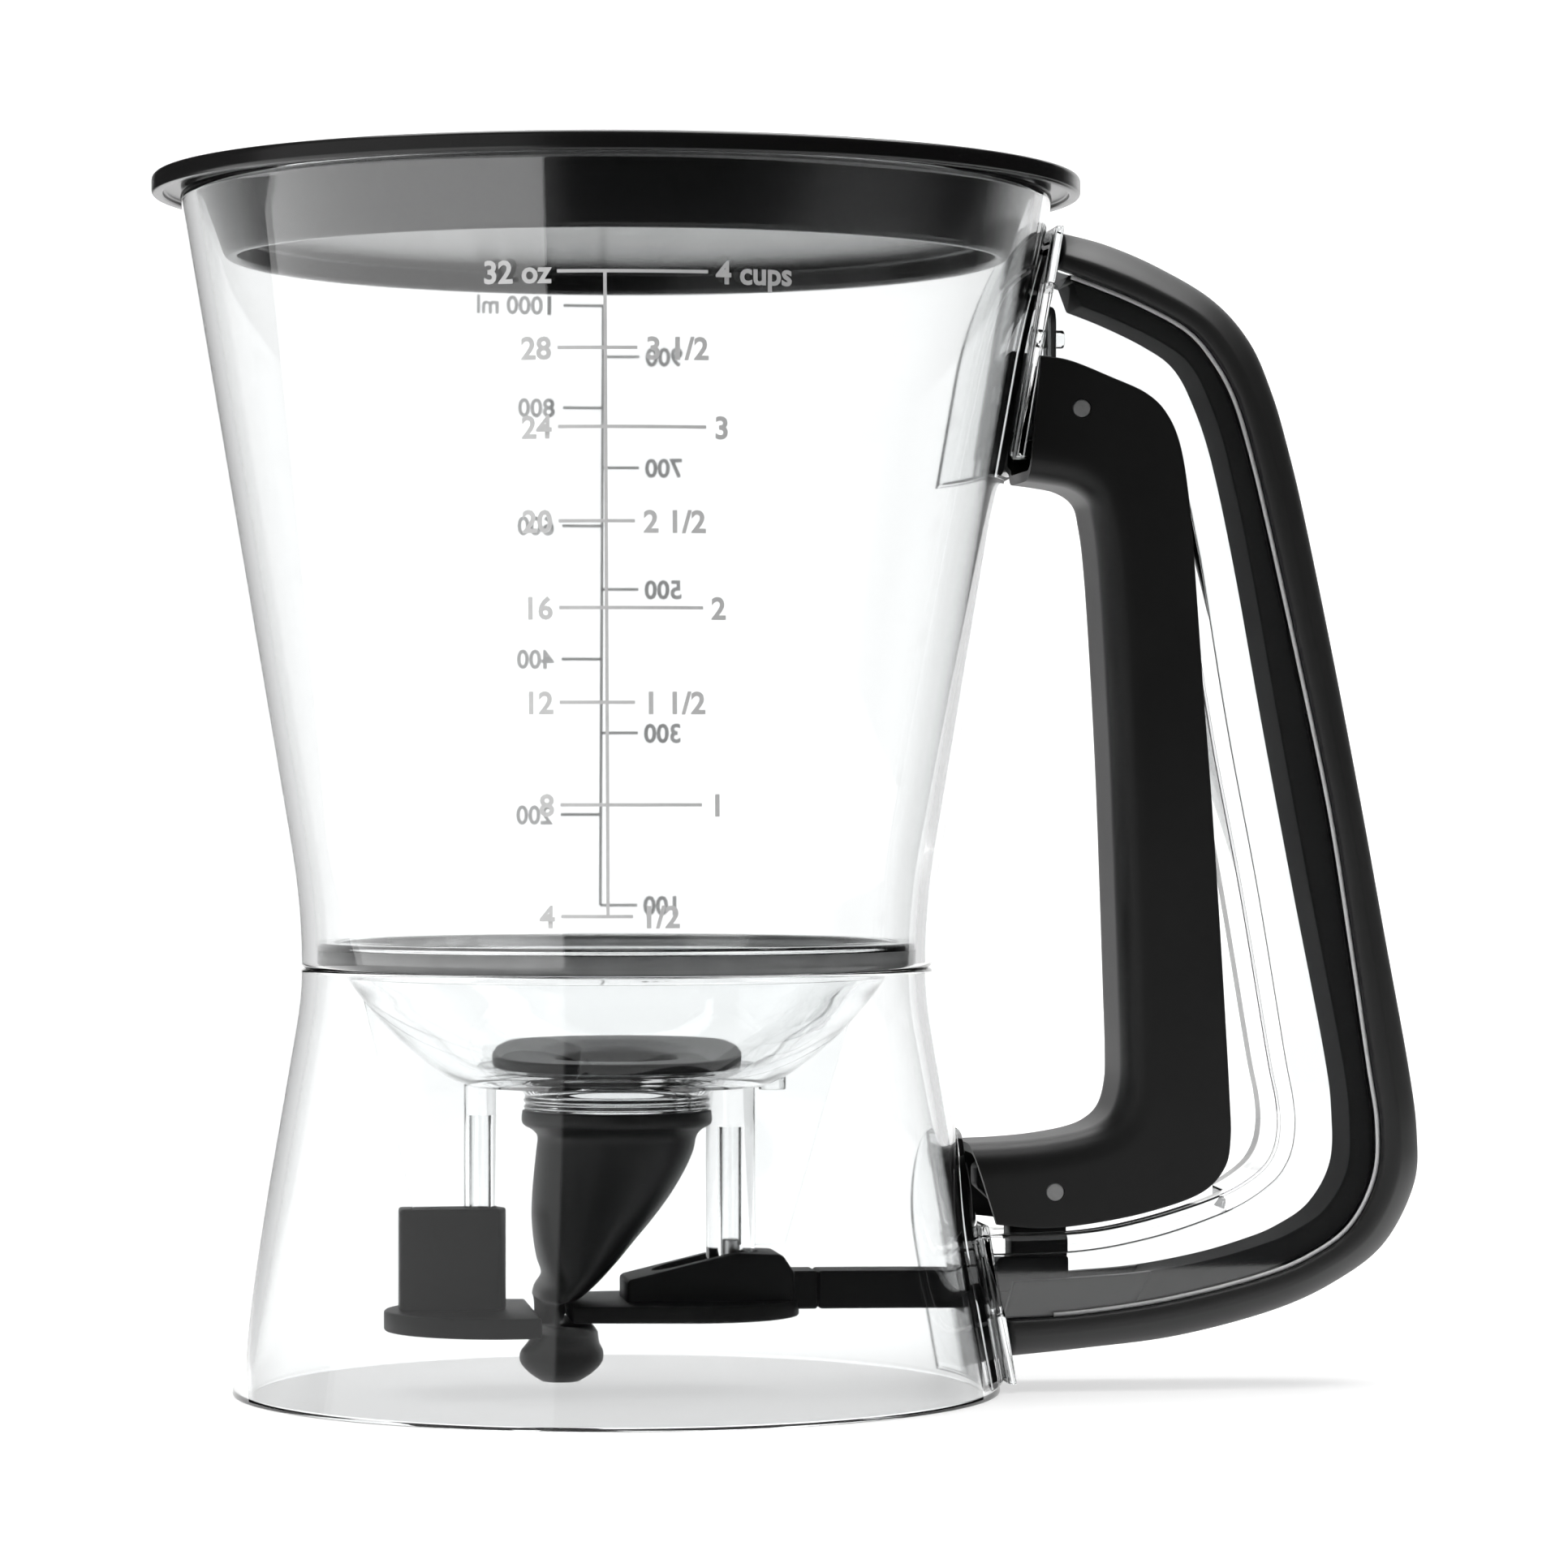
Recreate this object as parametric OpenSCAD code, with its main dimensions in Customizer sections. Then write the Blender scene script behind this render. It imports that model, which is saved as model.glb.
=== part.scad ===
// Batter dispenser: clear vessel over a pinch valve that a trigger in the handle opens.
// Millimetres, +Z up. The origin is on the vessel's axis, in the plane it stands on.
// The handle lies towards +X.

/* [Vessel] */
// Radius of the waist, where vessel and skirt are welded
waist_r = 48; // [47.5:0.1:48.5]
// Height of the weld line above the table
waist_z = 64.5; // [64:0.1:65]
// Height of the vessel's rim
rim_z = 181.8; // [178:0.1:181.8]
// Growth in radius per millimetre of height above the waist
vessel_slope = 0.1685; // [0.166:0.0005:0.17]
// Growth in radius per millimetre of depth below the waist
skirt_slope = 0.172; // [0.17:0.0005:0.174]
// Thickness of the clear walls
wall = 2.5; // [2.2:0.1:2.6]

/* [Lid] */
// Outer radius of the lid
lid_r = 70.5; // [70:0.1:71]
// Height of the lid's top face
lid_top_z = 184.2; // [184:0.1:185]
// Height of the lower edge of the lid's plug
plug_z = 171.5; // [171:0.1:174]

/* [Handle] */
// Width of the clear handle frame
frame_w = 18; // [17.6:0.1:18.2]
// Thickness of the frame's two side walls
frame_wall = 2; // [1.8:0.1:2.2]
// Width of the soft grip
grip_w = 22; // [20:0.5:24]
// Thickness of the end plates that are welded to the pads
plate_t = 1.5; // [1.2:0.1:1.6]

/* [Trigger] */
// Outside width of the trigger
trigger_w = 22.4; // [22:0.1:23]
// Wall thickness of the trigger
trigger_wall = 1.6; // [1.4:0.1:1.7]
// Corner radius along the finger side
trigger_r = 5; // [4:0.5:6]
// Radius of the pivot pin and the link pin
pin_r = 1.4; // [1.3:0.05:1.45]

/* [Valve] */
// Travel of the moving jaw when the trigger is squeezed
travel = 7.9; // [7.6:0.1:8]
// Radius of the jaw discs
jaw_r = 17.8; // [17:0.1:18]
// Radius of the outlet bore
outlet_r = 9; // [8.5:0.1:9.2]
// Wall of the silicone sleeve
sleeve_wall = 1.1; // [1:0.05:1.1]

/* [Hidden] */
$fn = 96;

// Colours of the materials
clear_plastic = [0.86, 0.9, 0.92, 0.35];
black_plastic = [0.1, 0.1, 0.1];
soft_black = [0.15, 0.15, 0.15];
silicone = [0.2, 0.2, 0.2];
steel = [0.6, 0.6, 0.58];

// Clearances
run_gap = 0.06;     // pin in a running hole
fit_gap = 0.02;     // pin held in a hole
slide_gap = 0.3;    // pieces that slide past each other
eps = 0.05;         // a cut runs past its face by this much

// Places of the mechanism, as [x, z]
pivot = [69.8, 149.3];
link = [65.7, 30.4];
left_post = -20.8;
right_post = 17.4;
peg_z = 160.5;
spring_x = 66.6;

// ---------- helpers ----------

// Point on a smooth curve through keys k, at parameter t counted in keys
function key(k, i) = k[max(0, min(len(k) - 1, i))];
function curve_at(k, t) =
    let(i = min(floor(t), len(k) - 2), f = t - i,
        a = key(k, i - 1), b = key(k, i), c = key(k, i + 1), d = key(k, i + 2))
    0.5 * (2 * b + (c - a) * f + (2 * a - 5 * b + 4 * c - d) * f * f
           + (3 * b - a - 3 * c + d) * f * f * f);
// Smooth curve through the keys, with n steps between neighbours
function curve(k, n) = [for (i = [0 : (len(k) - 1) * n]) curve_at(k, i / n)];
function reversed(v) = [for (i = [len(v) - 1 : -1 : 0]) v[i]];

// Prism across the handle from an outline in the X-Z plane
module across(w) {
    translate([0, w / 2, 0])
        rotate([90, 0, 0])
            linear_extrude(w)
                children();
}

// Solid skin over a stack of closed rings that all have the same number of points
module loft(rings) {
    m = len(rings[0]);
    n = len(rings);
    points = [for (ring = rings) each ring];
    sides = [for (i = [0 : n - 2], j = [0 : m - 1])
        let(a = i * m + j, b = i * m + (j + 1) % m)
        each [[a, b, b + m], [a, b + m, a + m]]];
    first_cap = [for (j = [m - 1 : -1 : 0]) j];
    last_cap = [for (j = [0 : m - 1]) (n - 1) * m + j];
    polyhedron(points, concat([first_cap], sides, [last_cap]));
}

// Slot with round ends along X, from x0 to x1, of half width r
module slot_x(x0, x1, r, h) {
    translate([x0 + r, 0, 0])
        cylinder(r = r, h = h);
    translate([x1 - r, 0, 0])
        cylinder(r = r, h = h);
    translate([x0 + r, -r, 0])
        cube([x1 - x0 - 2 * r, 2 * r, h]);
}

// Cylinder along Y, centred on the handle's middle plane, at [x, z]
module cross_pin(at, r, w) {
    translate([at[0], w / 2, at[1]])
        rotate([90, 0, 0])
            cylinder(r = r, h = w, $fn = 48);
}

// ---------- clear vessel and skirt ----------

vessel_blend = 18;  // height over which the waist turns into the cone
skirt_blend = 8.4;
// Outer radius above and below the weld: a parabola that runs into a straight cone
function flare(d, blend, slope) = d < blend ? slope * d * d / (2 * blend) : slope * (d - blend / 2);
function vessel_r(z) = waist_r + flare(z - waist_z, vessel_blend, vessel_slope);
function skirt_r(z) = waist_r + flare(waist_z - z, skirt_blend, skirt_slope);

vessel_steps = [for (i = [0 : 6]) waist_z + vessel_blend * i / 6];
skirt_steps = [for (i = [0 : 4]) waist_z - skirt_blend * i / 4];
rim_round = 1;

// Welding pads stand this far outside the wall, so the end plates lie on flat faces
pad_out = 0.4;
pad_hw = 12;
saddle_t = 0.8;
upper_pad = [138, 177.3];
lower_pad = [1, 38.6];
function pad_x(z) = (z > waist_z ? vessel_r(z) : skirt_r(z)) + pad_out;

// Flat part of a pad: a strip of wall between two heights, squared off on its outside
module pad_strip(z, depth) {
    across(2 * pad_hw)
        polygon([[pad_x(z[0]) - depth, z[0]], [pad_x(z[0]), z[0]],
                 [pad_x(z[1]), z[1]], [pad_x(z[1]) - depth, z[1]]]);
}

// Everything on the vessel's side of a pad's plane, the plane moved out by shift
module vessel_side(pad, shift) {
    lean = (pad_x(pad[1]) - pad_x(pad[0])) / (pad[1] - pad[0]);
    across(60)
        polygon([[0, pad[0] - 20], [pad_x(pad[0]) + shift - 20 * lean, pad[0] - 20],
                 [pad_x(pad[1]) + shift + 20 * lean, pad[1] + 20], [0, pad[1] + 20]]);
}

// Arched outline of the saddle, extruded along X: straight sides under a half circle
module arch(z0, z1, hw) {
    translate([0, 0, z1 - hw])
        rotate([0, 90, 0])
            cylinder(r = hw, h = 80);
    translate([0, -hw, z0])
        cube([80, 2 * hw, z1 - hw - z0]);
}

module vessel_body() {
    rotate_extrude($fn = 128)
        polygon(concat(
            [for (z = vessel_steps) [vessel_r(z), z]],
            [[vessel_r(rim_z - rim_round), rim_z - rim_round],
             [vessel_r(rim_z) - 0.3 * rim_round, rim_z - 0.3 * rim_round],
             [vessel_r(rim_z) - rim_round, rim_z],
             [vessel_r(rim_z) - wall, rim_z]],
            [for (z = reversed(vessel_steps)) [vessel_r(z) - wall, z]]));
}

// Raised saddle round a pad: a band of the cone inside the arch, cut flat in the pad's plane
module saddle(r0, z0, r1, z1, pad) {
    intersection() {
        rotate_extrude($fn = 128)
            polygon([[r0 - 1, z0], [r0 + saddle_t, z0], [r1 + saddle_t, z1], [r1 - 1, z1]]);
        children();
        vessel_side(pad, 0);
    }
}

module vessel() {
    color(clear_plastic)
        union() {
            vessel_body();
            saddle(vessel_r(130), 130, vessel_r(178), 178, upper_pad)
                arch(upper_pad[0] - 3, upper_pad[1] - 0.3, 22);
            pad_strip(upper_pad, 2);
        }
}

ledge_z = 63.7;
ledge_r = 43.5;
bar_slot = [11.8, 18.8];
bar_hw = 4;

module base_skirt() {
    color(clear_plastic)
        difference() {
            union() {
                rotate_extrude($fn = 128)
                    polygon(concat(
                        [[waist_r - wall, waist_z]],
                        [for (z = skirt_steps) [skirt_r(z), z]],
                        [[skirt_r(0.5), 0.5], [skirt_r(0) - 0.4, 0], [skirt_r(0) - wall, 0]],
                        [for (z = reversed([for (s = skirt_steps) if (s < ledge_z - 1.4) s]))
                            [skirt_r(z) - wall, z]],
                        [[waist_r - wall, ledge_z - 1.4], [ledge_r, ledge_z - 0.2],
                         [ledge_r, waist_z]]));
                saddle(skirt_r(1), 1, skirt_r(42), 42, lower_pad)
                    arch(-24, lower_pad[1] + 1.5, 20);
                pad_strip(lower_pad, 2);
            }
            translate([40, -bar_hw - slide_gap, bar_slot[0]])
                cube([30, 2 * (bar_hw + slide_gap), bar_slot[1] - bar_slot[0]]);
        }
}

// ---------- funnel with its neck, posts and fins ----------

bowl_floor = 46.4;
bowl_t = 2.5;
// Underside of the bowl as [radius, z]: a flat floor that sweeps up steeper towards the ledge
bowl_under = curve([[22.5, 46.4], [26.5, 48.3], [33, 53.5], [38, 59], [41, 63.2]], 3);
funnel_rim_r = waist_r - wall - 0.1;
funnel_rim_z = 68.6;
neck_r = 10.8;
neck_end = 38.5;
neck_ring_r = 14.3;
neck_ring = [42.7, 45.8];

module bowl() {
    rotate_extrude($fn = 128)
        polygon(concat(
            [[outlet_r, neck_end], [neck_r, neck_end], [neck_r, neck_ring[0]],
             [neck_ring_r - 0.4, neck_ring[0]], [neck_ring_r, neck_ring[0] + 0.5],
             [neck_ring_r - 0.4, neck_ring[0] + 1], [neck_ring_r, neck_ring[0] + 1.5],
             [neck_ring_r - 0.4, neck_ring[0] + 2.1], [neck_ring_r, neck_ring[1] - 0.4],
             [neck_ring_r + 0.8, bowl_floor]],
            bowl_under,
            [[ledge_r - 0.2, waist_z], [funnel_rim_r, waist_z + 0.1],
             [funnel_rim_r, funnel_rim_z], [funnel_rim_r - 2.2, funnel_rim_z]],
            [for (p = reversed(bowl_under)) p + [-1.2, bowl_t]],
            [[outlet_r + 2, bowl_floor + bowl_t - 0.2], [outlet_r, bowl_floor + 1]]));
}

module fin(points) {
    across(1.4)
        polygon(points);
}

module funnel() {
    color(clear_plastic)
        difference() {
            union() {
                bowl();
                translate([left_post, 0, 13.6])
                    cylinder(r = 2.5, h = bowl_floor + 1 - 13.6);
                fin([[left_post, 47.2], [-24, 47.8], [-38.6, 60.4], [-31, 27.7], [-31, 22.4],
                     [left_post, 22.4]]);
                translate([right_post, 0, 15.4])
                    cylinder(r = 3.75, h = bowl_floor + 1 - 15.4);
                fin([[right_post, 47], [24, 47.8], [36.4, 58.2], [27.7, 28.4], [25.8, 21.9],
                     [right_post, 21.9]]);
                translate([23.8, 0, 45.6])
                    cylinder(r = 2.1, h = 3);
            }
            for (x = [left_post, right_post])
                translate([x, 0, 12])
                    cylinder(r = 1.3, h = 13, $fn = 32);
        }
}

// ---------- handle frame and grip ----------

// Seam between frame and grip, then the grip's outside, point for point, as [x, z]
seam_keys = [[66.5, 170.5], [72.3, 168.5], [79.5, 165.6], [86.7, 161.7], [90.9, 157],
             [94, 151.4], [96.4, 143.9], [99.1, 133.2], [104.2, 110.7], [109, 88.1],
             [112.3, 67.6], [115, 49.7], [116.4, 40.2], [115.9, 32.1], [112.1, 24.6],
             [105.7, 19.9], [97.5, 16.7], [83.5, 13.4], [69.7, 11.5], [58.6, 10.9]];
back_keys = [[68, 176.9], [75.2, 175.1], [83.4, 171.7], [91.9, 166.7], [97.7, 160.2],
             [101.2, 152.2], [103.6, 144.1], [106.2, 133.4], [110.8, 111.3], [115.2, 88.5],
             [119, 68], [122.5, 49.3], [123.9, 38.6], [123.4, 30.4], [118.6, 21.3],
             [110.7, 15.4], [100.9, 11.1], [86, 7.4], [71.6, 5.7], [59.9, 4.6]];
// Inner edge of the grip's tongue
tongue_keys = [[70.4, 165.1], [75.9, 163], [82.4, 159.9], [87, 156.6], [90.1, 151], [93.1, 142],
               [96.7, 125.3], [101.2, 100.5], [105.9, 75.8], [110.8, 50.8], [112, 41.2],
               [111.7, 33.4], [108.3, 27.3], [103.2, 23.8], [98.2, 21.8], [90.7, 19.7],
               [80.6, 17.9], [70.2, 17.1], [60, 16.5]];
// Two faces of the frame's floor: towards the fingers, and inside the channel
floor_keys = [[55.6, 141.6], [69.9, 141.7], [77.3, 141.2], [82.2, 139.5], [84.3, 136],
              [86, 125.3], [90, 100.5], [94.7, 75.8], [98.9, 50.9], [100.2, 44.3], [100.5, 39.8],
              [99.6, 35.8], [96.9, 32.6], [90.7, 29.2], [79.2, 25.7], [68.1, 24], [49.4, 23.7]];
channel_keys = [[55.6, 144], [69.9, 144.1], [78.3, 143.6], [84.2, 141.6], [87.1, 136.9],
                [89.2, 125.4], [93.5, 100.5], [97.9, 75.8], [102.3, 51.6], [103.8, 44.6],
                [104.2, 39], [103, 34], [99.2, 29.8], [92, 25.8], [79.7, 22.3], [68.1, 20.9],
                [49.4, 20.7]];
curve_steps = 3;

channel_hw = frame_w / 2 - frame_wall;
seam = curve(seam_keys, curve_steps);
back = curve(back_keys, curve_steps);
// Line half way into the grip, so the tongue is rooted in it
root_line = [for (i = [0 : len(seam) - 1]) 0.6 * seam[i] + 0.4 * back[i]];
module frame_profile() {
    polygon(concat([[50, 171.1]], seam, [[50, 10.8]], reversed(curve(floor_keys, curve_steps))));
}

module channel_profile() {
    polygon(concat([[50, 169.3]], [for (i = [1 : len(root_line) - 1]) root_line[i]],
                   [[50, 12.8]], reversed(curve(channel_keys, curve_steps))));
}

// End plate on a pad, from height z[0] to z[1], of half width hw
module end_plate(z, hw) {
    across(2 * hw)
        polygon([[pad_x(z[0]), z[0]], [pad_x(z[0]) + plate_t, z[0]],
                 [pad_x(z[1]) + plate_t, z[1] - 0.6], [pad_x(z[1]) + plate_t - 0.6, z[1]],
                 [pad_x(z[1]), z[1]]]);
}

module handle_frame() {
    color(clear_plastic)
        difference() {
            union() {
                difference() {
                    across(frame_w)
                        frame_profile();
                    across(2 * channel_hw)
                        channel_profile();
                    vessel_side(upper_pad, plate_t - eps);
                    vessel_side(lower_pad, plate_t - eps);
                }
                end_plate([141.6, 177.1], frame_w / 2);
                end_plate([168.2, 177.1], grip_w / 2);
                end_plate([1.2, 25.4], frame_w / 2);
                end_plate([1.2, 11.7], grip_w / 2);
                // peg that the spring's loop hooks over
                translate([pad_x(peg_z) + 0.5, 0, peg_z])
                    rotate([0, 90, 0])
                        cylinder(r = 1.4, h = 68.8 - pad_x(peg_z) - 0.5, $fn = 48);
            }
            cross_pin(pivot, pin_r + fit_gap, frame_w + 2);
            // opening in the floor for the spring's legs
            translate([71.4, -channel_hw, 138.4])
                cube([6.2, 2 * channel_hw, 8]);
            // slot in the lower floor for the lug of the pull bar
            translate([0, 0, 19])
                slot_x(54, 95, bar_hw + 0.5, 14);
            // passage for the pull bar through the lower end plate
            translate([50, -bar_hw - slide_gap, bar_slot[0]])
                cube([9, 2 * (bar_hw + slide_gap), bar_slot[1] - bar_slot[0]]);
        }
}

// Cross-section of the grip at station i: flat on the seam, crowned on the outside
grip_points = 12;
function grip_ring(i) =
    [for (j = [grip_points : -1 : 0])
        let(a = 180 * j / grip_points,
            u = pow(sin(a), 0.8),
            y = grip_w / 2 * sign(cos(a)) * pow(abs(cos(a)), 0.6),
            p = seam[i] + (back[i] - seam[i]) * u)
        [p[0], y, p[1]]];

module handle_grip() {
    color(soft_black)
        difference() {
            union() {
                loft([for (i = [0 : len(seam) - 1]) grip_ring(i)]);
                across(2 * (channel_hw - 0.1))
                    polygon(concat([for (i = [2 : len(root_line) - 1]) root_line[i]],
                                   reversed(curve(tongue_keys, curve_steps))));
            }
            // the pull bar runs between the two sides of the tongue
            across(2 * bar_hw + 1)
                polygon([[50, 10.7], [66.5, 10.7], [66.5, 12.4], [80, 12.4], [80, 24], [50, 24]]);
        }
}

// ---------- trigger ----------

// Finger side and frame side of the trigger, point for point, as [x, z]
finger_keys = [[61.9, 138.4], [65, 138], [68.2, 137.4], [70.4, 136.3], [71.7, 134.7],
               [72.3, 132], [72.9, 127.8], [73.6, 119.3], [74.4, 106.1], [75.1, 92],
               [75.7, 75.6], [76.2, 60.7], [76.5, 51.6], [76.4, 46.7], [75.4, 42.9],
               [73.3, 40.7], [70.1, 39.4], [64.4, 38.4], [58.6, 37.9], [52.9, 37.7]];
edge_keys = [[63.5, 157.3], [68, 156.6], [74.2, 154.2], [79.8, 151.7], [83.1, 148.4],
             [85.2, 143.1], [86.6, 133.5], [87.6, 120.3], [88.6, 106.2], [89.7, 92],
             [90.8, 75.8], [91.8, 59.6], [92.6, 45.4], [92.8, 38.3], [91.8, 33.7], [88.1, 30],
             [80.3, 27.3], [71.6, 25.6], [64, 24.9], [56.8, 25.5]];
trigger_steps = 2;
fingers = curve(finger_keys, trigger_steps);
edges = curve(edge_keys, trigger_steps);
corner_steps = 4;

// U-shaped ring between finger point f and edge point g: half width hw, floor set in by t,
// corner radius r, legs run past g by over
function u_ring(f, g, hw, t, r, over) =
    let(l = norm(g - f), d = (g - f) / l,
        arc = [for (i = [0 : corner_steps])
            let(a = 90 * i / corner_steps)
            [t + r - r * sin(a), hw - r + r * cos(a)]],
        half = concat([[l + over, hw]], arc),
        flat = concat(half, [for (p = reversed(half)) [p[0], -p[1]]]))
    [for (p = flat) let(q = f + d * p[0]) [q[0], p[1], q[1]]];

module trigger_shell() {
    n = len(fingers) - 1;
    inner_hw = trigger_w / 2 - trigger_wall;
    inner_r = 2.4;
    start = [-4, 0.6];
    finish = [-4, -0.1];
    difference() {
        loft([for (i = [0 : n])
            u_ring(fingers[i], edges[i], trigger_w / 2, 0, trigger_r, 0)]);
        loft(concat(
            [u_ring(fingers[0] + start, edges[0] + start, inner_hw, trigger_wall, inner_r, 3)],
            [for (i = [0 : n - 1])
                let(t = (i + 0.5) / trigger_steps)
                u_ring(curve_at(finger_keys, t), curve_at(edge_keys, t),
                       inner_hw, trigger_wall, inner_r, 3)],
            [u_ring(fingers[n] + finish, edges[n] + finish, inner_hw, trigger_wall, inner_r, 3)]));
    }
}

module trigger() {
    color(black_plastic)
        difference() {
            trigger_shell();
            cross_pin(pivot, pin_r + run_gap, trigger_w + 2);
            cross_pin(link, pin_r + fit_gap, trigger_w + 2);
        }
}

module pivot_pin() {
    color(steel)
        cross_pin(pivot, pin_r, trigger_w - 0.2);
}

module link_pin() {
    color(steel)
        cross_pin(link, pin_r, trigger_w - 0.2);
}

// ---------- return spring ----------

wire_r = 0.65;
coil_r = 3.2;
coil_turns = 3;
coil_y0 = 2.2;
loop_z = 162.7;
leg_end = [75.9, 129.3];
coil_steps = 16;

// Centre line of one half of the spring, from the leg's end up to the top of the loop, y >= 0
spring_half = concat(
    [[leg_end[0], coil_y0 + coil_turns * 2 * wire_r, leg_end[1]]],
    [for (i = [0 : coil_turns * coil_steps + coil_steps / 2])
        let(a = -360 * i / coil_steps,
            y = coil_y0 + 2 * wire_r * max(0, coil_turns - i / coil_steps))
        [pivot[0] + coil_r * cos(a), y, pivot[1] + coil_r * sin(a)]],
    [for (i = [0 : 4])
        let(a = 22.5 * i)
        [spring_x, coil_y0 * cos(a), loop_z + coil_y0 * sin(a)]]);
spring_line = concat(spring_half,
    [for (i = [len(spring_half) - 2 : -1 : 0])
        [spring_half[i][0], -spring_half[i][1], spring_half[i][2]]]);

function unit(v) = v / norm(v);
function tangent(l, i) = unit(l[min(len(l) - 1, i + 1)] - l[max(0, i - 1)]);
// Tube ring around point i of line l; side is a direction that the line never runs along
function tube_ring(l, i, r, side, n) =
    let(t = tangent(l, i), u = unit(cross(t, side)), v = cross(t, u))
    [for (j = [0 : n - 1]) l[i] + r * (cos(360 * j / n) * u - sin(360 * j / n) * v)];

module return_spring() {
    color(steel)
        loft([for (i = [0 : len(spring_line) - 1])
            tube_ring(spring_line, i, wire_r, [0.02, 1, 0.01], 6)]);
}

// ---------- valve ----------

fixed_z = [9.5, 12.6];
moving_z = [11.4, 13.9];
fixed_c = -17.6;
moving_c = 11.8;
blade_c = -3;
fixed_blade = -12.7;
moving_blade = -7.8;

// Disc of radius r with eased edges, from z[0] to z[1]
module jaw_disc(r, z) {
    rotate_extrude($fn = 96)
        polygon([[0, z[0]], [r - 0.5, z[0]], [r - 0.15, z[0] + 0.15], [r, z[0] + 0.5],
                 [r, z[1] - 0.5], [r - 0.15, z[1] - 0.15], [r - 0.5, z[1]], [0, z[1]]]);
}

module fixed_jaw() {
    socket_top = 28;
    color(black_plastic)
        difference() {
            union() {
                intersection() {
                    translate([fixed_c, 0, 0])
                        jaw_disc(jaw_r, fixed_z);
                    translate([fixed_blade - 60, -30, 0])
                        cube([60, 60, 20]);
                }
                translate([left_post, 0, fixed_z[1] - eps])
                    cylinder(r = 4.1, h = socket_top - fixed_z[1] + eps);
                translate([-33.1, -3.5, fixed_z[1] - eps])
                    cube([33.1 + left_post, 7, socket_top - fixed_z[1] + eps]);
            }
            // socket for the post and its fin
            translate([left_post, 0, 13.4])
                cylinder(r = 2.55, h = 20);
            translate([-31.2, -0.8, 22.2])
                cube([31.2 + left_post, 1.6, 10]);
            // counterbore and hole for the screw
            translate([left_post, 0, 0])
                cylinder(r = 3.3, h = 11.8);
            translate([left_post, 0, 0])
                cylinder(r = 1.35, h = 20, $fn = 32);
        }
}

module bracket_screw() {
    color(steel)
        translate([left_post, 0, 0])
            union() {
                translate([0, 0, 9.9])
                    cylinder(r = 3.1, h = 1.9);
                translate([0, 0, 11])
                    cylinder(r = 1.25, h = 12, $fn = 32);
            }
}

module guide_screw() {
    color(steel)
        translate([right_post, 0, 0])
            difference() {
                union() {
                    translate([0, 0, 13])
                        cylinder(r = 5, h = 2.3);
                    translate([0, 0, 14])
                        cylinder(r = 1.25, h = 9, $fn = 32);
                }
                // cross recess
                for (a = [0, 90])
                    rotate(a)
                        translate([-2.2, -0.45, 12.9])
                            cube([4.4, 0.9, 1.2]);
            }
}

wedge_hw = 6.8;
wedge = [[1, 13], [1, 17.2], [17.6, 21.2], [24.6, 20.9], [26.4, 18.2], [26.4, 13]];
joint_x = 30.4;
bar_z = [12.4, 18.2];
tenon = [14, 16.6];

// Outline of the moving jaw: a wide round end, slightly tapered sides and a straight blade
function arc(c, r, a0, a1, n) =
    [for (i = [0 : n])
        let(a = a0 + (a1 - a0) * i / n)
        [c + r * cos(a), r * sin(a)]];
moving_r = jaw_r - 1.8;
blade_r = jaw_r - 3.8;
side_a = 90 + asin((moving_r - blade_r) / (moving_c - blade_c));
blade_a = acos((moving_blade - blade_c) / blade_r);
moving_outline = concat(arc(moving_c, moving_r, -side_a, side_a, 48),
                        arc(blade_c, blade_r, side_a + 0.1, blade_a, 3),
                        arc(blade_c, blade_r, 360 - blade_a, 360 - side_a - 0.1, 3));

module moving_jaw() {
    color(black_plastic)
        difference() {
            union() {
                translate([0, 0, moving_z[0]])
                    linear_extrude(moving_z[1] - moving_z[0])
                        polygon(moving_outline);
                across(2 * wedge_hw)
                    polygon(wedge);
                translate([24, -bar_hw, bar_z[0]])
                    cube([joint_x - 24, 2 * bar_hw, bar_z[1] - bar_z[0]]);
            }
            // the guide post stands in a slot as long as the travel
            translate([0, 0, 10])
                slot_x(right_post - travel - 4.2, right_post + 4.2, 4.05, 20);
            translate([0, 0, 10])
                slot_x(right_post - travel - 5.4, right_post + 5.4, 5.3, 5.6);
            // socket for the bar's tenon
            translate([24.8, -2.5, tenon[0] - 0.1])
                cube([10, 5, tenon[1] - tenon[0] + 0.2]);
        }
}

step_x = 57.5;
bar_end = 69;
lug_hw = 3.2;

module pull_bar() {
    color(black_plastic)
        difference() {
            union() {
                translate([joint_x + 0.05, -bar_hw, bar_z[0]])
                    cube([step_x + 0.5 - joint_x, 2 * bar_hw, bar_z[1] - bar_z[0]]);
                translate([25, -2.4, tenon[0]])
                    cube([joint_x - 24, 4.8, tenon[1] - tenon[0]]);
                across(2 * bar_hw)
                    polygon([[step_x, 14.7], [bar_end, 14.7], [bar_end, 20.2], [step_x + 1, 20.2],
                             [step_x, 19.2]]);
                across(2 * lug_hw)
                    polygon([[60, 18], [60, 26.1], [54.9, 30.9], [54.9, 33.9], [55.7, 34.4],
                             [66.6, 35], [68.2, 33.6], [68.8, 30.9], [68.8, 18]]);
            }
            // upright slot for the link pin
            cross_pin(link + [0, 0.15], pin_r + run_gap, 10);
            cross_pin(link - [0, 0.15], pin_r + run_gap, 10);
        }
}

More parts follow.
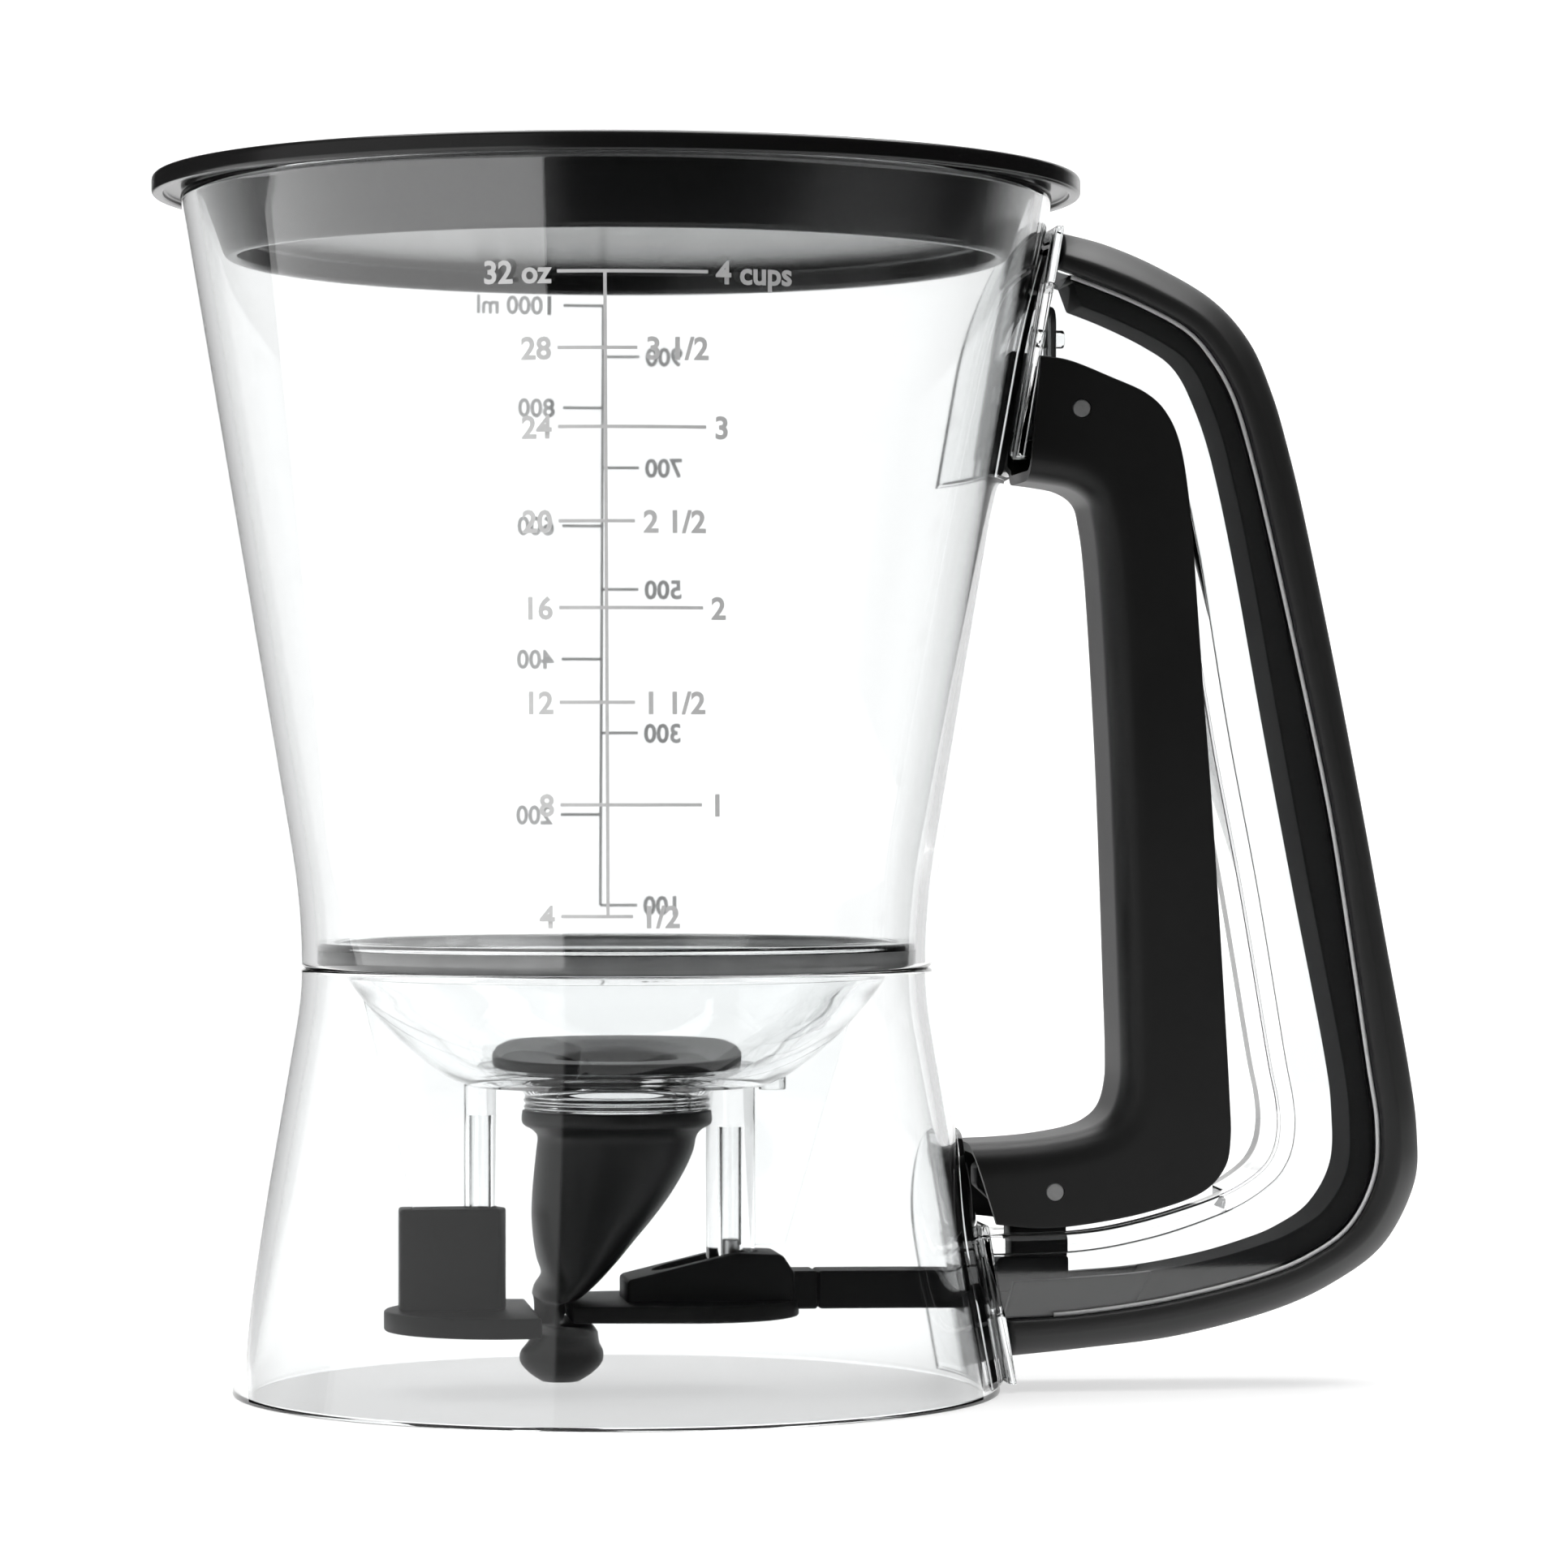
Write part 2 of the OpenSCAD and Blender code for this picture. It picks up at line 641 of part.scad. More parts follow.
// Silicone sleeve: stations as [z, left x, right x, half width in y]
sleeve_rows = [[42.6, -14.4, 14.4, 14.4], [40.7, -14.4, 14.4, 14.4], [39.7, -12.9, 12.9, 12.9],
               [38.6, -12.1, 12.1, 12.1], [36.4, -12.3, 11.6, 12], [33.5, -12.6, 10.3, 12],
               [30, -12.9, 8.2, 12.3], [26.5, -13, 5.6, 12.8], [23, -12.7, 2.6, 13.3],
               [20.2, -12.2, 0.2, 13.7], [17.8, -11.5, -2.1, 14], [16, -12.5, -4, 14],
               [14.7, -12.8, -5.8, 14], [14.2, -12.6, -8.1, 14], [12.9, -12.4, -8.1, 14],
               [11.1, -12.4, -8.1, 13.2], [10.5, -12.4, -4.4, 11], [9.3, -12.4, -3.1, 9.4],
               [8.5, -12.9, -2.9, 8.6], [7.4, -13.6, -2.7, 7.8], [6, -14.7, -2.1, 6.6],
               [4.4, -14.7, -2.3, 6.3], [2.8, -13.3, -3.8, 5.2], [1.6, -11.5, -5.7, 3.4]];
sleeve_points = 28;
function sleeve_ring(s, t) =
    [for (j = [0 : sleeve_points - 1])
        let(a = 360 * j / sleeve_points,
            half = max(0.03, (s[2] - s[1]) / 2 - t))
        [(s[1] + s[2]) / 2 + half * cos(a), max(0.5, s[3] - t) * sin(a), s[0]]];

module valve_sleeve() {
    top_rows = [for (s = sleeve_rows) if (s[0] > 14.5) s];
    low_rows = [for (s = sleeve_rows) if (s[0] < 10) s];
    first = top_rows[0];
    last = low_rows[len(low_rows) - 1];
    color(silicone)
        difference() {
            loft([for (s = sleeve_rows) sleeve_ring(s, 0)]);
            // inside, above the pinch
            loft(concat(
                [sleeve_ring([first[0] + 1, first[1], first[2], first[3]], 3.5)],
                [for (s = top_rows) sleeve_ring(s, s[0] > 39 ? s[3] - neck_r - 0.1 : sleeve_wall)],
                [sleeve_ring([14, -11.4, -9.1, 13.6], sleeve_wall)]));
            // inside, below the pinch
            loft(concat(
                [sleeve_ring([10.8, -10.6, -8.3, 10.5], sleeve_wall)],
                [for (s = low_rows) sleeve_ring(s, sleeve_wall)],
                [sleeve_ring([last[0] - 1, last[1], last[2], last[3]], sleeve_wall)]));
            // notch in the flange where the right post passes
            translate([right_post, 0, 39])
                cylinder(r = 3.9, h = 5);
        }
}

// ---------- lid ----------

module lid() {
    lip_r = 68.7;
    ceiling = rim_z + 0.3;
    plug_top = 63.2;
    plug_r = 59.3;
    color(soft_black)
        rotate_extrude($fn = 128)
            polygon([[0, plug_z + 3.5], [57.2, plug_z + 3.5], [57.4, plug_z + 0.6],
                     [58, plug_z], [plug_r - 0.6, plug_z], [plug_r, plug_z + 0.6],
                     [plug_top, ceiling], [lip_r - 0.6, ceiling], [lip_r, ceiling - 0.4],
                     [lip_r, lid_top_z - 2.9], [lid_r - 0.8, lid_top_z - 2.9],
                     [lid_r, lid_top_z - 2.1], [lid_r, lid_top_z - 0.9],
                     [lid_r - 0.8, lid_top_z], [60, lid_top_z], [58.6, lid_top_z - 0.9],
                     [56.6, plug_z + 6.4], [55, plug_z + 5.5], [0, plug_z + 5.5]]);
}

vessel();
base_skirt();
funnel();
handle_frame();
handle_grip();
pivot_pin();
return_spring();
fixed_jaw();
bracket_screw();
guide_screw();
valve_sleeve();
trigger();
link_pin();
moving_jaw();
pull_bar();
lid();
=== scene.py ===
# %% [markdown]
# # A clear batter dispenser
# This lesson dresses a batter dispenser: a clear plastic vessel on a flared skirt, with a black
# lid, a handle, a trigger and a pinch valve underneath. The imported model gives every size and
# place, so the visual pieces are worked out in the same frame, in millimetres, and put into
# the meshes in metres.

# %% Load the fixed frame
import math

import bmesh
import bpy
import numpy as np
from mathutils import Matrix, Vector


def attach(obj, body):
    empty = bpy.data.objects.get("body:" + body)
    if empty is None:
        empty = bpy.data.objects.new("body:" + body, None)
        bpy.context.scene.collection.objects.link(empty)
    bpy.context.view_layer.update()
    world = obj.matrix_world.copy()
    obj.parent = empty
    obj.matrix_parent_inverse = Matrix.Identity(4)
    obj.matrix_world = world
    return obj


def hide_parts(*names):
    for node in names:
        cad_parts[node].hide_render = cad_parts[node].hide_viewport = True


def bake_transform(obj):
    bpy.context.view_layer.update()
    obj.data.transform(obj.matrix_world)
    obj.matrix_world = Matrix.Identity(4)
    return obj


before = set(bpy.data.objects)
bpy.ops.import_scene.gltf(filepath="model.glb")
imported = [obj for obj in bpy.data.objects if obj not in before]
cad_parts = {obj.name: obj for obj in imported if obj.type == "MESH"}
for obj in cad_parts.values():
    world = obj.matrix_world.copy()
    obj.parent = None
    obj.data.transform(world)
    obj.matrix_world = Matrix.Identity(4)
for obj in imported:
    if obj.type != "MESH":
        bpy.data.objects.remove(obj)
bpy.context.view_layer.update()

# %% [markdown]
# ## Tools for shapes
# Nearly every piece here is one of three things: a profile turned round the vessel's axis, a
# closed ring carried along a path, or a flat outline pushed across the handle. Each is a grid
# of points, so one function can join any of them with faces. The points are computed as whole
# arrays, which is fast and keeps the formula in one place.

# %% Grids of points to meshes
MM = 0.001


def grid_faces(rows, cols, wrap_rows, wrap_cols):
    """Quads between neighbours of a rows x cols grid; a wrapped side joins its end to its start."""
    i, j = np.meshgrid(np.arange(rows if wrap_rows else rows - 1),
                       np.arange(cols if wrap_cols else cols - 1), indexing="ij")
    i2, j2 = (i + 1) % rows, (j + 1) % cols
    return np.stack([i * cols + j, i * cols + j2, i2 * cols + j2, i2 * cols + j], -1).reshape(-1, 4)


def signed_volume(mesh):
    """The volume inside a mesh, negative where its faces point inwards."""
    shape = bmesh.new()
    shape.from_mesh(mesh)
    volume = shape.calc_volume(signed=True)
    shape.free()
    return volume


def mesh_piece(name, points, faces, closed=True, smooth=True):
    """A new object from points in millimetres; a closed shape is turned so its faces point outwards."""
    mesh = bpy.data.meshes.new(name)
    mesh.from_pydata((np.asarray(points, float) * MM).tolist(), [], [list(map(int, f)) for f in faces])
    if closed and signed_volume(mesh) < 0:
        mesh.flip_normals()
    mesh.polygons.foreach_set("use_smooth", np.full(len(mesh.polygons), smooth))
    mesh.update()
    piece = bpy.data.objects.new(name, mesh)
    bpy.context.collection.objects.link(piece)
    print(f"{name}: {len(mesh.vertices)} points, {len(mesh.polygons)} faces")
    return piece


# %% Curves and rounded corners
def curve_at(keys, t):
    """Catmull-Rom curve through the keys: a cubic between each pair, t counted in keys."""
    k = np.asarray(keys, float)
    t = np.clip(np.asarray(t, float), 0, len(k) - 1)
    i = np.minimum(t.astype(int), len(k) - 2)
    f = (t - i)[:, None]
    a, b = k[np.maximum(i - 1, 0)], k[i]
    c, d = k[i + 1], k[np.minimum(i + 2, len(k) - 1)]
    return 0.5 * (2 * b + (c - a) * f + (2 * a - 5 * b + 4 * c - d) * f ** 2
                  + (3 * b - a - 3 * c + d) * f ** 3)


def rounded(corners, radius, steps=4, closed=True):
    """Each corner P becomes a quadratic arc from P + dA to P + dC, with d at most 42% of a side.
    A point just outside each arc keeps the flat next to it flat when it is shaded smooth."""
    most, outside = 0.42, 1.15
    p = np.asarray(corners, float)
    r = np.broadcast_to(np.asarray(radius, float), len(p))
    before, after = np.roll(p, 1, 0) - p, np.roll(p, -1, 0) - p
    la, lc = np.linalg.norm(before, axis=1), np.linalg.norm(after, axis=1)
    da, dc = np.minimum(r, most * la), np.minimum(r, most * lc)
    ua, uc = before / la[:, None], after / lc[:, None]
    t = np.linspace(0, 1, steps + 1)[None, :, None]
    a, c = (p + ua * da[:, None])[:, None], (p + uc * dc[:, None])[:, None]
    arc = (1 - t) ** 2 * a + 2 * t * (1 - t) * p[:, None] + t ** 2 * c
    lead = (p + ua * (da * outside)[:, None])[:, None]
    tail = (p + uc * (dc * outside)[:, None])[:, None]
    out = np.concatenate([lead, arc, tail], 1)
    number = np.arange(len(p))
    bent = (r > 0) & (closed | ((number > 0) & (number < len(p) - 1)))
    keep = np.repeat(bent[:, None], out.shape[1], 1)
    keep[:, steps // 2 + 1] = True
    out[~keep[:, 0], steps // 2 + 1] = p[~keep[:, 0]]
    return out[keep]


# %% Turned, lofted and extruded pieces
def turned(name, profile, steps=192, centre=(0, 0), poles=False):
    """Points (r cos a, r sin a, z) for every profile point (r, z) and angle a.
    With poles the profile starts and ends on the axis, and a fan of triangles closes each end."""
    profile = np.asarray(profile, float)
    rows = profile[1:-1] if poles else profile
    a = np.linspace(0, 2 * np.pi, steps, endpoint=False)
    r, z = rows[:, :1], rows[:, 1:]
    points = np.stack([centre[0] + r * np.cos(a), centre[1] + r * np.sin(a), z + 0 * a], -1).reshape(-1, 3)
    faces = grid_faces(len(rows), steps, not poles, True).tolist()
    if poles:
        n = len(points)
        j = np.arange(steps)
        points = np.vstack([points, [[*centre, profile[0, 1]], [*centre, profile[-1, 1]]]])
        last = (len(rows) - 1) * steps
        faces += np.stack([j, np.full(steps, n), (j + 1) % steps], -1).tolist()
        faces += np.stack([last + j, last + (j + 1) % steps, np.full(steps, n + 1)], -1).tolist()
    return mesh_piece(name, points, faces)


def lofted(name, rings, loop=False):
    """Faces between neighbouring rings. Each end is closed by quads across the ring,
    from point k to point m - 1 - k, so the rings have an even number of points."""
    n, m = rings.shape[:2]
    faces = grid_faces(n, m, loop, True).tolist()
    if not loop:
        k = np.arange(m // 2 - 1)
        cap = np.stack([k, k + 1, m - 2 - k, m - 1 - k], -1)
        faces += cap.tolist() + (cap[:, ::-1] + (n - 1) * m).tolist()
    return mesh_piece(name, rings.reshape(-1, 3), faces)


def capped(name, rings):
    """Faces between neighbouring rings, and one flat face over each end."""
    n, m = rings.shape[:2]
    faces = grid_faces(n, m, False, True).tolist()
    faces += [list(range(m))[::-1], list(range((n - 1) * m, n * m))]
    return mesh_piece(name, rings.reshape(-1, 3), faces)


def soften(piece, width):
    """A live bevel, its width in millimetres, on every edge sharper than 35 degrees."""
    bevel = piece.modifiers.new("rounded edges", "BEVEL")
    bevel.width = width * MM
    bevel.segments = 3
    bevel.limit_method = "ANGLE"
    bevel.angle_limit = math.radians(35)
    bevel.harden_normals = True
    return piece


def box(x0, x1, z0, z1):
    """Corners of an upright rectangle."""
    return [[x0, z0], [x1, z0], [x1, z1], [x0, z1]]


def prism(name, outline, low, high, axis="y", bevel=0.4):
    """A flat outline pushed from low to high along an axis: (x, z) across y, or (x, y) up z."""
    flat, place = np.asarray(outline, float), "xyz".index(axis)
    piece = capped(name, np.array([np.insert(flat, place, end, axis=1) for end in (low, high)]))
    return soften(piece, bevel) if bevel else piece


def tube(name, path, radius, around):
    """A round wire: a circle of the radius in the plane across the path at every point. The
    circle's first axis is kept square to a side direction that no path here runs along."""
    side = [0.02, 1, 0.01]
    p = np.asarray(path, float)
    t = np.gradient(p, axis=0)
    t /= np.linalg.norm(t, axis=1)[:, None]
    u = np.cross(t, side)
    u /= np.linalg.norm(u, axis=1)[:, None]
    v = np.cross(t, u)
    a = np.linspace(0, 2 * np.pi, around, endpoint=False)[None, :, None]
    rings = p[:, None] + radius * (np.cos(a) * u[:, None] - np.sin(a) * v[:, None])
    return lofted(name, rings)


def move_points(piece, order, signs, shift):
    """Reorders the axes of a piece's points, flips their signs and shifts them by millimetres."""
    points = np.empty(len(piece.data.vertices) * 3)
    piece.data.vertices.foreach_get("co", points)
    points = points.reshape(-1, 3)[:, order] * signs + np.array(shift) * MM
    piece.data.vertices.foreach_set("co", points.ravel())
    piece.data.update()
    return piece


def cylinder(name, centre, radius, low, high, axis="z", edge=0, steps=64):
    """A turned pin, with its ends rounded by the edge, stood up along z or laid across the handle along y."""
    profile = rounded([[0, low], [radius, low], [radius, high], [0, high]], [0, edge, edge, 0], 3, False)
    piece = turned(name, profile, steps, poles=True)
    if axis == "y":
        return move_points(piece, [0, 2, 1], [1, 1, -1], [centre[0], 0, centre[1]])
    return move_points(piece, [0, 1, 2], 1, [centre[0], centre[1], 0])


def cut(piece, *cutters):
    """Takes the cutters out of a piece with exact booleans, then deletes them."""
    for cutter in cutters:
        modifier = piece.modifiers.new("cut", "BOOLEAN")
        modifier.operation = "DIFFERENCE"
        modifier.solver = "EXACT"
        modifier.object = cutter
        graph = bpy.context.evaluated_depsgraph_get()
        mesh = bpy.data.meshes.new_from_object(piece.evaluated_get(graph))
        piece.modifiers.clear()
        piece.data = mesh
        bpy.data.objects.remove(cutter)
    piece.data.set_sharp_from_angle(angle=math.radians(32))
    return piece


# %% [markdown]
# ## Tools for materials
# A material is a sum of patterns. Wrapping a socket in a small class lets the sums be written
# as Python: `0.3 + 0.1 * noise` adds the Math nodes by itself, and any other node comes from
# one method. Patterns read Object coordinates, so they stay on the piece when it moves.

# %% A socket that can be added and multiplied
class Field:
    """One output socket of a node tree, or the bare tree when no socket is given."""

    def __init__(self, tree, socket=None):
        self.tree, self.socket = tree, socket

    def node(self, kind, settings, values, output=0):
        """Adds a node: its settings first, then a value or a link for each socket."""
        made = self.tree.nodes.new(kind)
        for key, value in settings.items():
            setattr(made, key, value)
        for key, value in values.items():
            if isinstance(value, Field):
                self.tree.links.new(value.socket, made.inputs[key])
            else:
                made.inputs[key].default_value = value
        return Field(self.tree, made.outputs[output]) if made.outputs else made

    def maths(self, operation, a, b):
        """One Math node."""
        return self.node("ShaderNodeMath", {"operation": operation}, {0: a, 1: b})

    def blend(self, low, high):
        """Mixes two colours by this field."""
        return self.node("ShaderNodeMix", {"data_type": "RGBA"}, {0: self, 6: low, 7: high}, 2)


for symbol, operation in (("add", "ADD"), ("sub", "SUBTRACT"), ("mul", "MULTIPLY")):
    setattr(Field, f"__{symbol}__", lambda a, b, kind=operation: a.maths(kind, a, b))
    setattr(Field, f"__r{symbol}__", lambda a, b, kind=operation: a.maths(kind, b, a))


def new_material(name):
    """An empty node material and its tree."""
    material = bpy.data.materials.new(name)
    material.use_nodes = True
    material.node_tree.nodes.clear()
    return material, Field(material.node_tree)


def finish_material(tree, values, bump=None, strength=0.1, distance=0.0002):
    """Principled shader with the given sockets, and a Bump node where a height is given."""
    if bump is not None:
        values = dict(values)
        values["Normal"] = tree.node("ShaderNodeBump", {}, {"Strength": strength, "Distance": distance,
                                                            "Height": bump})
    shader = tree.node("ShaderNodeBsdfPrincipled", {}, values)
    tree.node("ShaderNodeOutputMaterial", {}, {"Surface": shader})


def noise(tree, scale, detail=3.0, roughness=0.5):
    """Noise in Object coordinates; the scale is in cycles per metre."""
    place = tree.node("ShaderNodeTexCoord", {}, {}, "Object")
    return tree.node("ShaderNodeTexNoise", {}, {"Vector": place, "Scale": scale, "Detail": detail,
                                                "Roughness": roughness})


def grey(v):
    """A neutral colour."""
    return (v, v, v, 1.0)


# %% [markdown]
# ## Finishes
# The clear parts are injection moulded: clean, colourless and very slightly wavy, so the wave is
# a faint bump and the roughness stays low. The trigger, lid and jaws are black plastic with a
# fine spark-eroded grain. The grip is soft-touch, so it is rougher and takes a wide dull shine.
# Where two clear parts are welded, the line is hazy: half of its light is scattered.

# %% Clear plastic
clear, t = new_material("clear moulded plastic")
wave = noise(t, 22, 1.0)
flow = noise(t, 55, 2.0)
finish_material(t, {"Base Color": flow.blend((0.95, 0.96, 0.962, 1), (0.965, 0.972, 0.973, 1)),
                    "Roughness": 0.015 + 0.03 * flow, "IOR": 1.49, "Transmission Weight": 1.0},
                bump=wave, strength=0.06, distance=0.0006)
print("made", clear.name)

# %% Black plastics and silicone
def black_plastic(name, dark, light, low, high, grain, strength, gloss):
    """Grained black plastic: colour and roughness drift slowly, the grain is a fine bump."""
    material, t = new_material(name)
    cloud = noise(t, 45, 3.0)
    fine = noise(t, grain, 2.0, 0.6)
    finish_material(t, {"Base Color": cloud.blend(grey(dark), grey(light)),
                        "Roughness": low + (high - low) * cloud + 0.06 * (fine - 0.5),
                        "IOR": 1.5, "Specular IOR Level": gloss},
                    bump=fine, strength=strength, distance=0.00008)
    return material


trigger_black = black_plastic("black grained plastic", 0.0055, 0.0085, 0.4, 0.5, 4200, 0.12, 0.3)
lid_black = black_plastic("black lid plastic", 0.004, 0.006, 0.2, 0.28, 4200, 0.05, 0.35)
jaw_black = black_plastic("black jaw plastic", 0.005, 0.008, 0.5, 0.6, 4200, 0.08, 0.12)
grip_black = black_plastic("soft-touch black", 0.007, 0.011, 0.46, 0.56, 5200, 0.15, 0.5)
# The tongue is the grip's own black, painted about three times lighter and with its shine taken away: painted
# light for the grey it shows through the clear walls.
tongue_painted_lighter = black_plastic("grip black painted lighter on the tongue", 0.02, 0.027, 0.5, 0.6, 5200, 0.1, 0.02)
sleeve_black = black_plastic("dark silicone", 0.006, 0.01, 0.42, 0.5, 4200, 0.05, 0.3)


# %% Steel, ink and hazy edges
def speckled(name, scale, detail, colours, rough, fixed, strength=0.0):
    """Colour, roughness rough[0] + rough[1] * noise, and the bump all follow one noise."""
    material, t = new_material(name)
    speck = noise(t, scale, detail)
    finish_material(t, {"Base Color": speck.blend(grey(colours[0]), grey(colours[1])),
                        "Roughness": rough[0] + rough[1] * speck, **fixed},
                    bump=speck if strength else None, strength=strength)
    return material


def partly_clear(share):
    """The fixed values of clear plastic that lets the share of its light through."""
    return {"Transmission Weight": share, "IOR": 1.49}


steel = speckled("drawn steel wire", 900, 2.0, (0.42, 0.58), (0.24, 0.14), {"Metallic": 1.0}, 0.05)
pin_steel = speckled("dull pin steel", 1200, 2.0, (0.2, 0.27), (0.45, 0.15), {"Metallic": 0.3}, 0.05)
ink = speckled("pale grey print", 1500, 2.0, (0.42, 0.5), (0.55, 0.1), {})
back_ink = speckled("pale grey print seen through the wall", 1500, 2.0, (0.46, 0.56), (0.55, 0.1),
                    {"Transmission Weight": 0.2, "IOR": 1.03})
# The seam beads are pale and only partly clear: a painted highlight along the seam.
seam_highlight_paint = speckled("pale seam bead, painted highlight", 700, 3.0, (0.62, 0.86), (0.3, 0.25), partly_clear(0.35), 0.15)
weld_haze = speckled("hazy weld line", 260, 4.0, (0.34, 0.62), (0.35, 0.2), partly_clear(0.55), 0.15)
print("made", len(bpy.data.materials), "materials")


# %% Giving a piece its place and finish
def dress(piece, body, material, slot, *nodes):
    """Sets the material, the body that the piece rides on, and the nodes it stands
    for; the slot is not used."""
    piece.data.materials.clear()
    piece.data.materials.append(material)
    if body:
        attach(piece, body)
    if nodes:
        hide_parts(*nodes)
    return piece


def clear_part(piece, *nodes):
    """Clear plastic of the welded body."""
    return dress(piece, "dispenser", clear, "clear_plastic", *nodes)


# %% [markdown]
# ## The clear vessel and its skirt
# Both are turned shapes with a 2.5 mm wall. Their outside is a straight cone that runs into
# the waist along a parabola: the slope grows evenly from zero, and then stays. Every edge is
# rounded a little, because a rounded rim is what catches the light in clear plastic.

# %% Radii of the vessel and the skirt
waist_r, waist_z, rim_z, wall = 48.0, 64.5, 181.8, 2.5
vessel_blend, vessel_slope, skirt_blend, skirt_slope = 18, 0.1685, 8.4, 0.172


def flare(depth, blend, slope):
    """slope d^2 / 2b inside the blend, then slope (d - b / 2)."""
    d = np.asarray(depth, float)
    return np.where(d < blend, slope * d * d / (2 * blend), slope * (d - blend / 2))


def vessel_r(z):
    """Outer radius of the vessel at height z."""
    return waist_r + flare(np.asarray(z, float) - waist_z, vessel_blend, vessel_slope)


def skirt_r(z):
    """Outer radius of the skirt at height z."""
    return waist_r + flare(waist_z - np.asarray(z, float), skirt_blend, skirt_slope)


print("mouth radius", round(float(vessel_r(rim_z)), 2), "foot radius", round(float(skirt_r(0)), 2))


# %% A clear wall, and the vessel
def clear_wall(name, radius, bottom, top, edge):
    """Turned from its section: up the outside, down the inside, with the four corners rounded."""
    count = 40
    z = np.linspace(bottom, top, count)
    outer = np.stack([radius(z), z], -1)
    inner = np.stack([radius(z) - wall, z], -1)[::-1]
    edges = np.zeros(2 * count)
    edges[[0, count - 1, count, 2 * count - 1]] = edge
    return turned(name, rounded(np.vstack([outer, inner]), edges), 256)


clear_part(clear_wall("vessel_wall", vessel_r, waist_z, rim_z, 0.95), "vessel")


# %% [markdown]
# ## Pads for the handle
# Where the handle is welded on, the wall carries an arched saddle a little thicker than the
# wall. It is drawn here as a thin curved plate: a grid over the arch, with a height that falls
# to zero at the arch's edge, laid on the cone.

# %% Arched saddles
def saddle(name, radius, z0, z1, half, lift, rows=72, cols=49):
    """Grid over an arch: z from z0 to z1, y = half w(z) s with s in -1..1, where w is 1 up to the
    spring of the arch and a quarter circle above it. x lies on the cone, out by the lift, which
    grows like a square root over a short run from the edge, and stops at the pad's plane."""
    z = np.linspace(z0, z1, rows)[:, None]
    s = np.linspace(-1, 1, cols)[None, :]
    up = np.clip((z - (z1 - half)) / half, 0, 1)
    y = half * np.sqrt(np.maximum(1 - up ** 2, 1e-4)) * s
    side_run, top_run, most_out, off_wall = 0.8, 0.6, 0.4, 0.02
    edge = np.minimum((1 - np.abs(s)) * half, z - z0) / side_run
    rise = lift * np.clip(edge, 0, 1) ** 0.5 * np.clip((z1 - z) / top_run, 0, 1) ** 0.5
    r = radius(z)
    x = np.minimum(np.sqrt(np.maximum((r + rise) ** 2 - y ** 2, 0)), r + most_out)
    top = np.stack([x, y, z + 0 * s], -1)
    low = np.stack([np.sqrt(np.maximum((r + off_wall) ** 2 - y ** 2, 0)), y, z + 0 * s], -1)
    points = np.concatenate([top.reshape(-1, 3), low.reshape(-1, 3)])
    n = rows * cols
    base = grid_faces(rows, cols, False, False)
    ring = np.concatenate([np.arange(cols), np.arange(1, rows) * cols + cols - 1,
                           (rows - 1) * cols + np.arange(cols - 2, -1, -1),
                           np.arange(rows - 2, 0, -1) * cols])
    side = np.stack([ring, np.roll(ring, -1), np.roll(ring, -1) + n, ring + n], -1)
    return mesh_piece(name, points, np.vstack([base, base[:, ::-1] + n, side[:, ::-1]]))


clear_part(saddle("upper_saddle", vessel_r, 138.2, 177.0, 22.0, 0.8))
clear_part(saddle("lower_saddle", skirt_r, 1.2, 40.1, 20.0, 0.8))

# %% Skirt
weld_gap = 0.03
slot_z, slot_half = (11.8, 18.8), 4.3


def slot_cutter(name, x0, x1):
    """The slot for the pull bar, from x0 to x1."""
    return prism(name, box(x0, x1, *slot_z), -slot_half, slot_half, bevel=0)


skirt = clear_wall("skirt_wall", skirt_r, 0.0, waist_z - weld_gap, 0.5)
cut(skirt, slot_cutter("slot_cutter", 40, 70))
clear_part(skirt, "base_skirt")

# %% [markdown]
# ## Funnel
# The funnel is one turned bowl with a neck, and it hangs two posts that carry the valve's
# jaws. Thin fins tie the posts to the bowl. The bowl starts flat and sweeps up steeper and steeper,
# along a smooth curve through a few measured points. Its rim is welded into the vessel, and the
# weld is a thin hazy ring between the two walls.

# %% Bowl, neck and weld
sweep_points, rim_points = 24, 4
outside = curve_at([[22.5, 46.4], [26.5, 48.3], [33, 53.5], [38, 59], [41, 63.2]],
                   np.linspace(0, 4, sweep_points))
inside = (outside + [-1.2, 2.5])[::-1]
neck = [[9, 38.5], [10.8, 38.5], [10.8, 42.7], [13.9, 42.7], [14.3, 43.2], [13.9, 43.7], [14.3, 44.2],
        [13.9, 44.8], [14.3, 45.4], [15.1, 46.4]]
rim = [[43.3, 64.4], [45.3, 64.6], [45.3, 68.5], [43.2, 68.5]]
section = np.vstack([neck, outside, rim, inside, [[11, 48.7], [9, 47.4]]])
edges = np.full(len(section), 0.5)
for first in (len(neck), len(neck) + sweep_points + rim_points):    # the two sweeps stay as drawn
    edges[first + 1:first + sweep_points - 1] = 0
clear_part(turned("funnel_bowl", rounded(section, edges, 3)), "funnel")
dress(turned("bowl_weld", box(45.35, 45.43, 64.9, 67.4), 256), "dispenser", weld_haze, "clear_plastic")

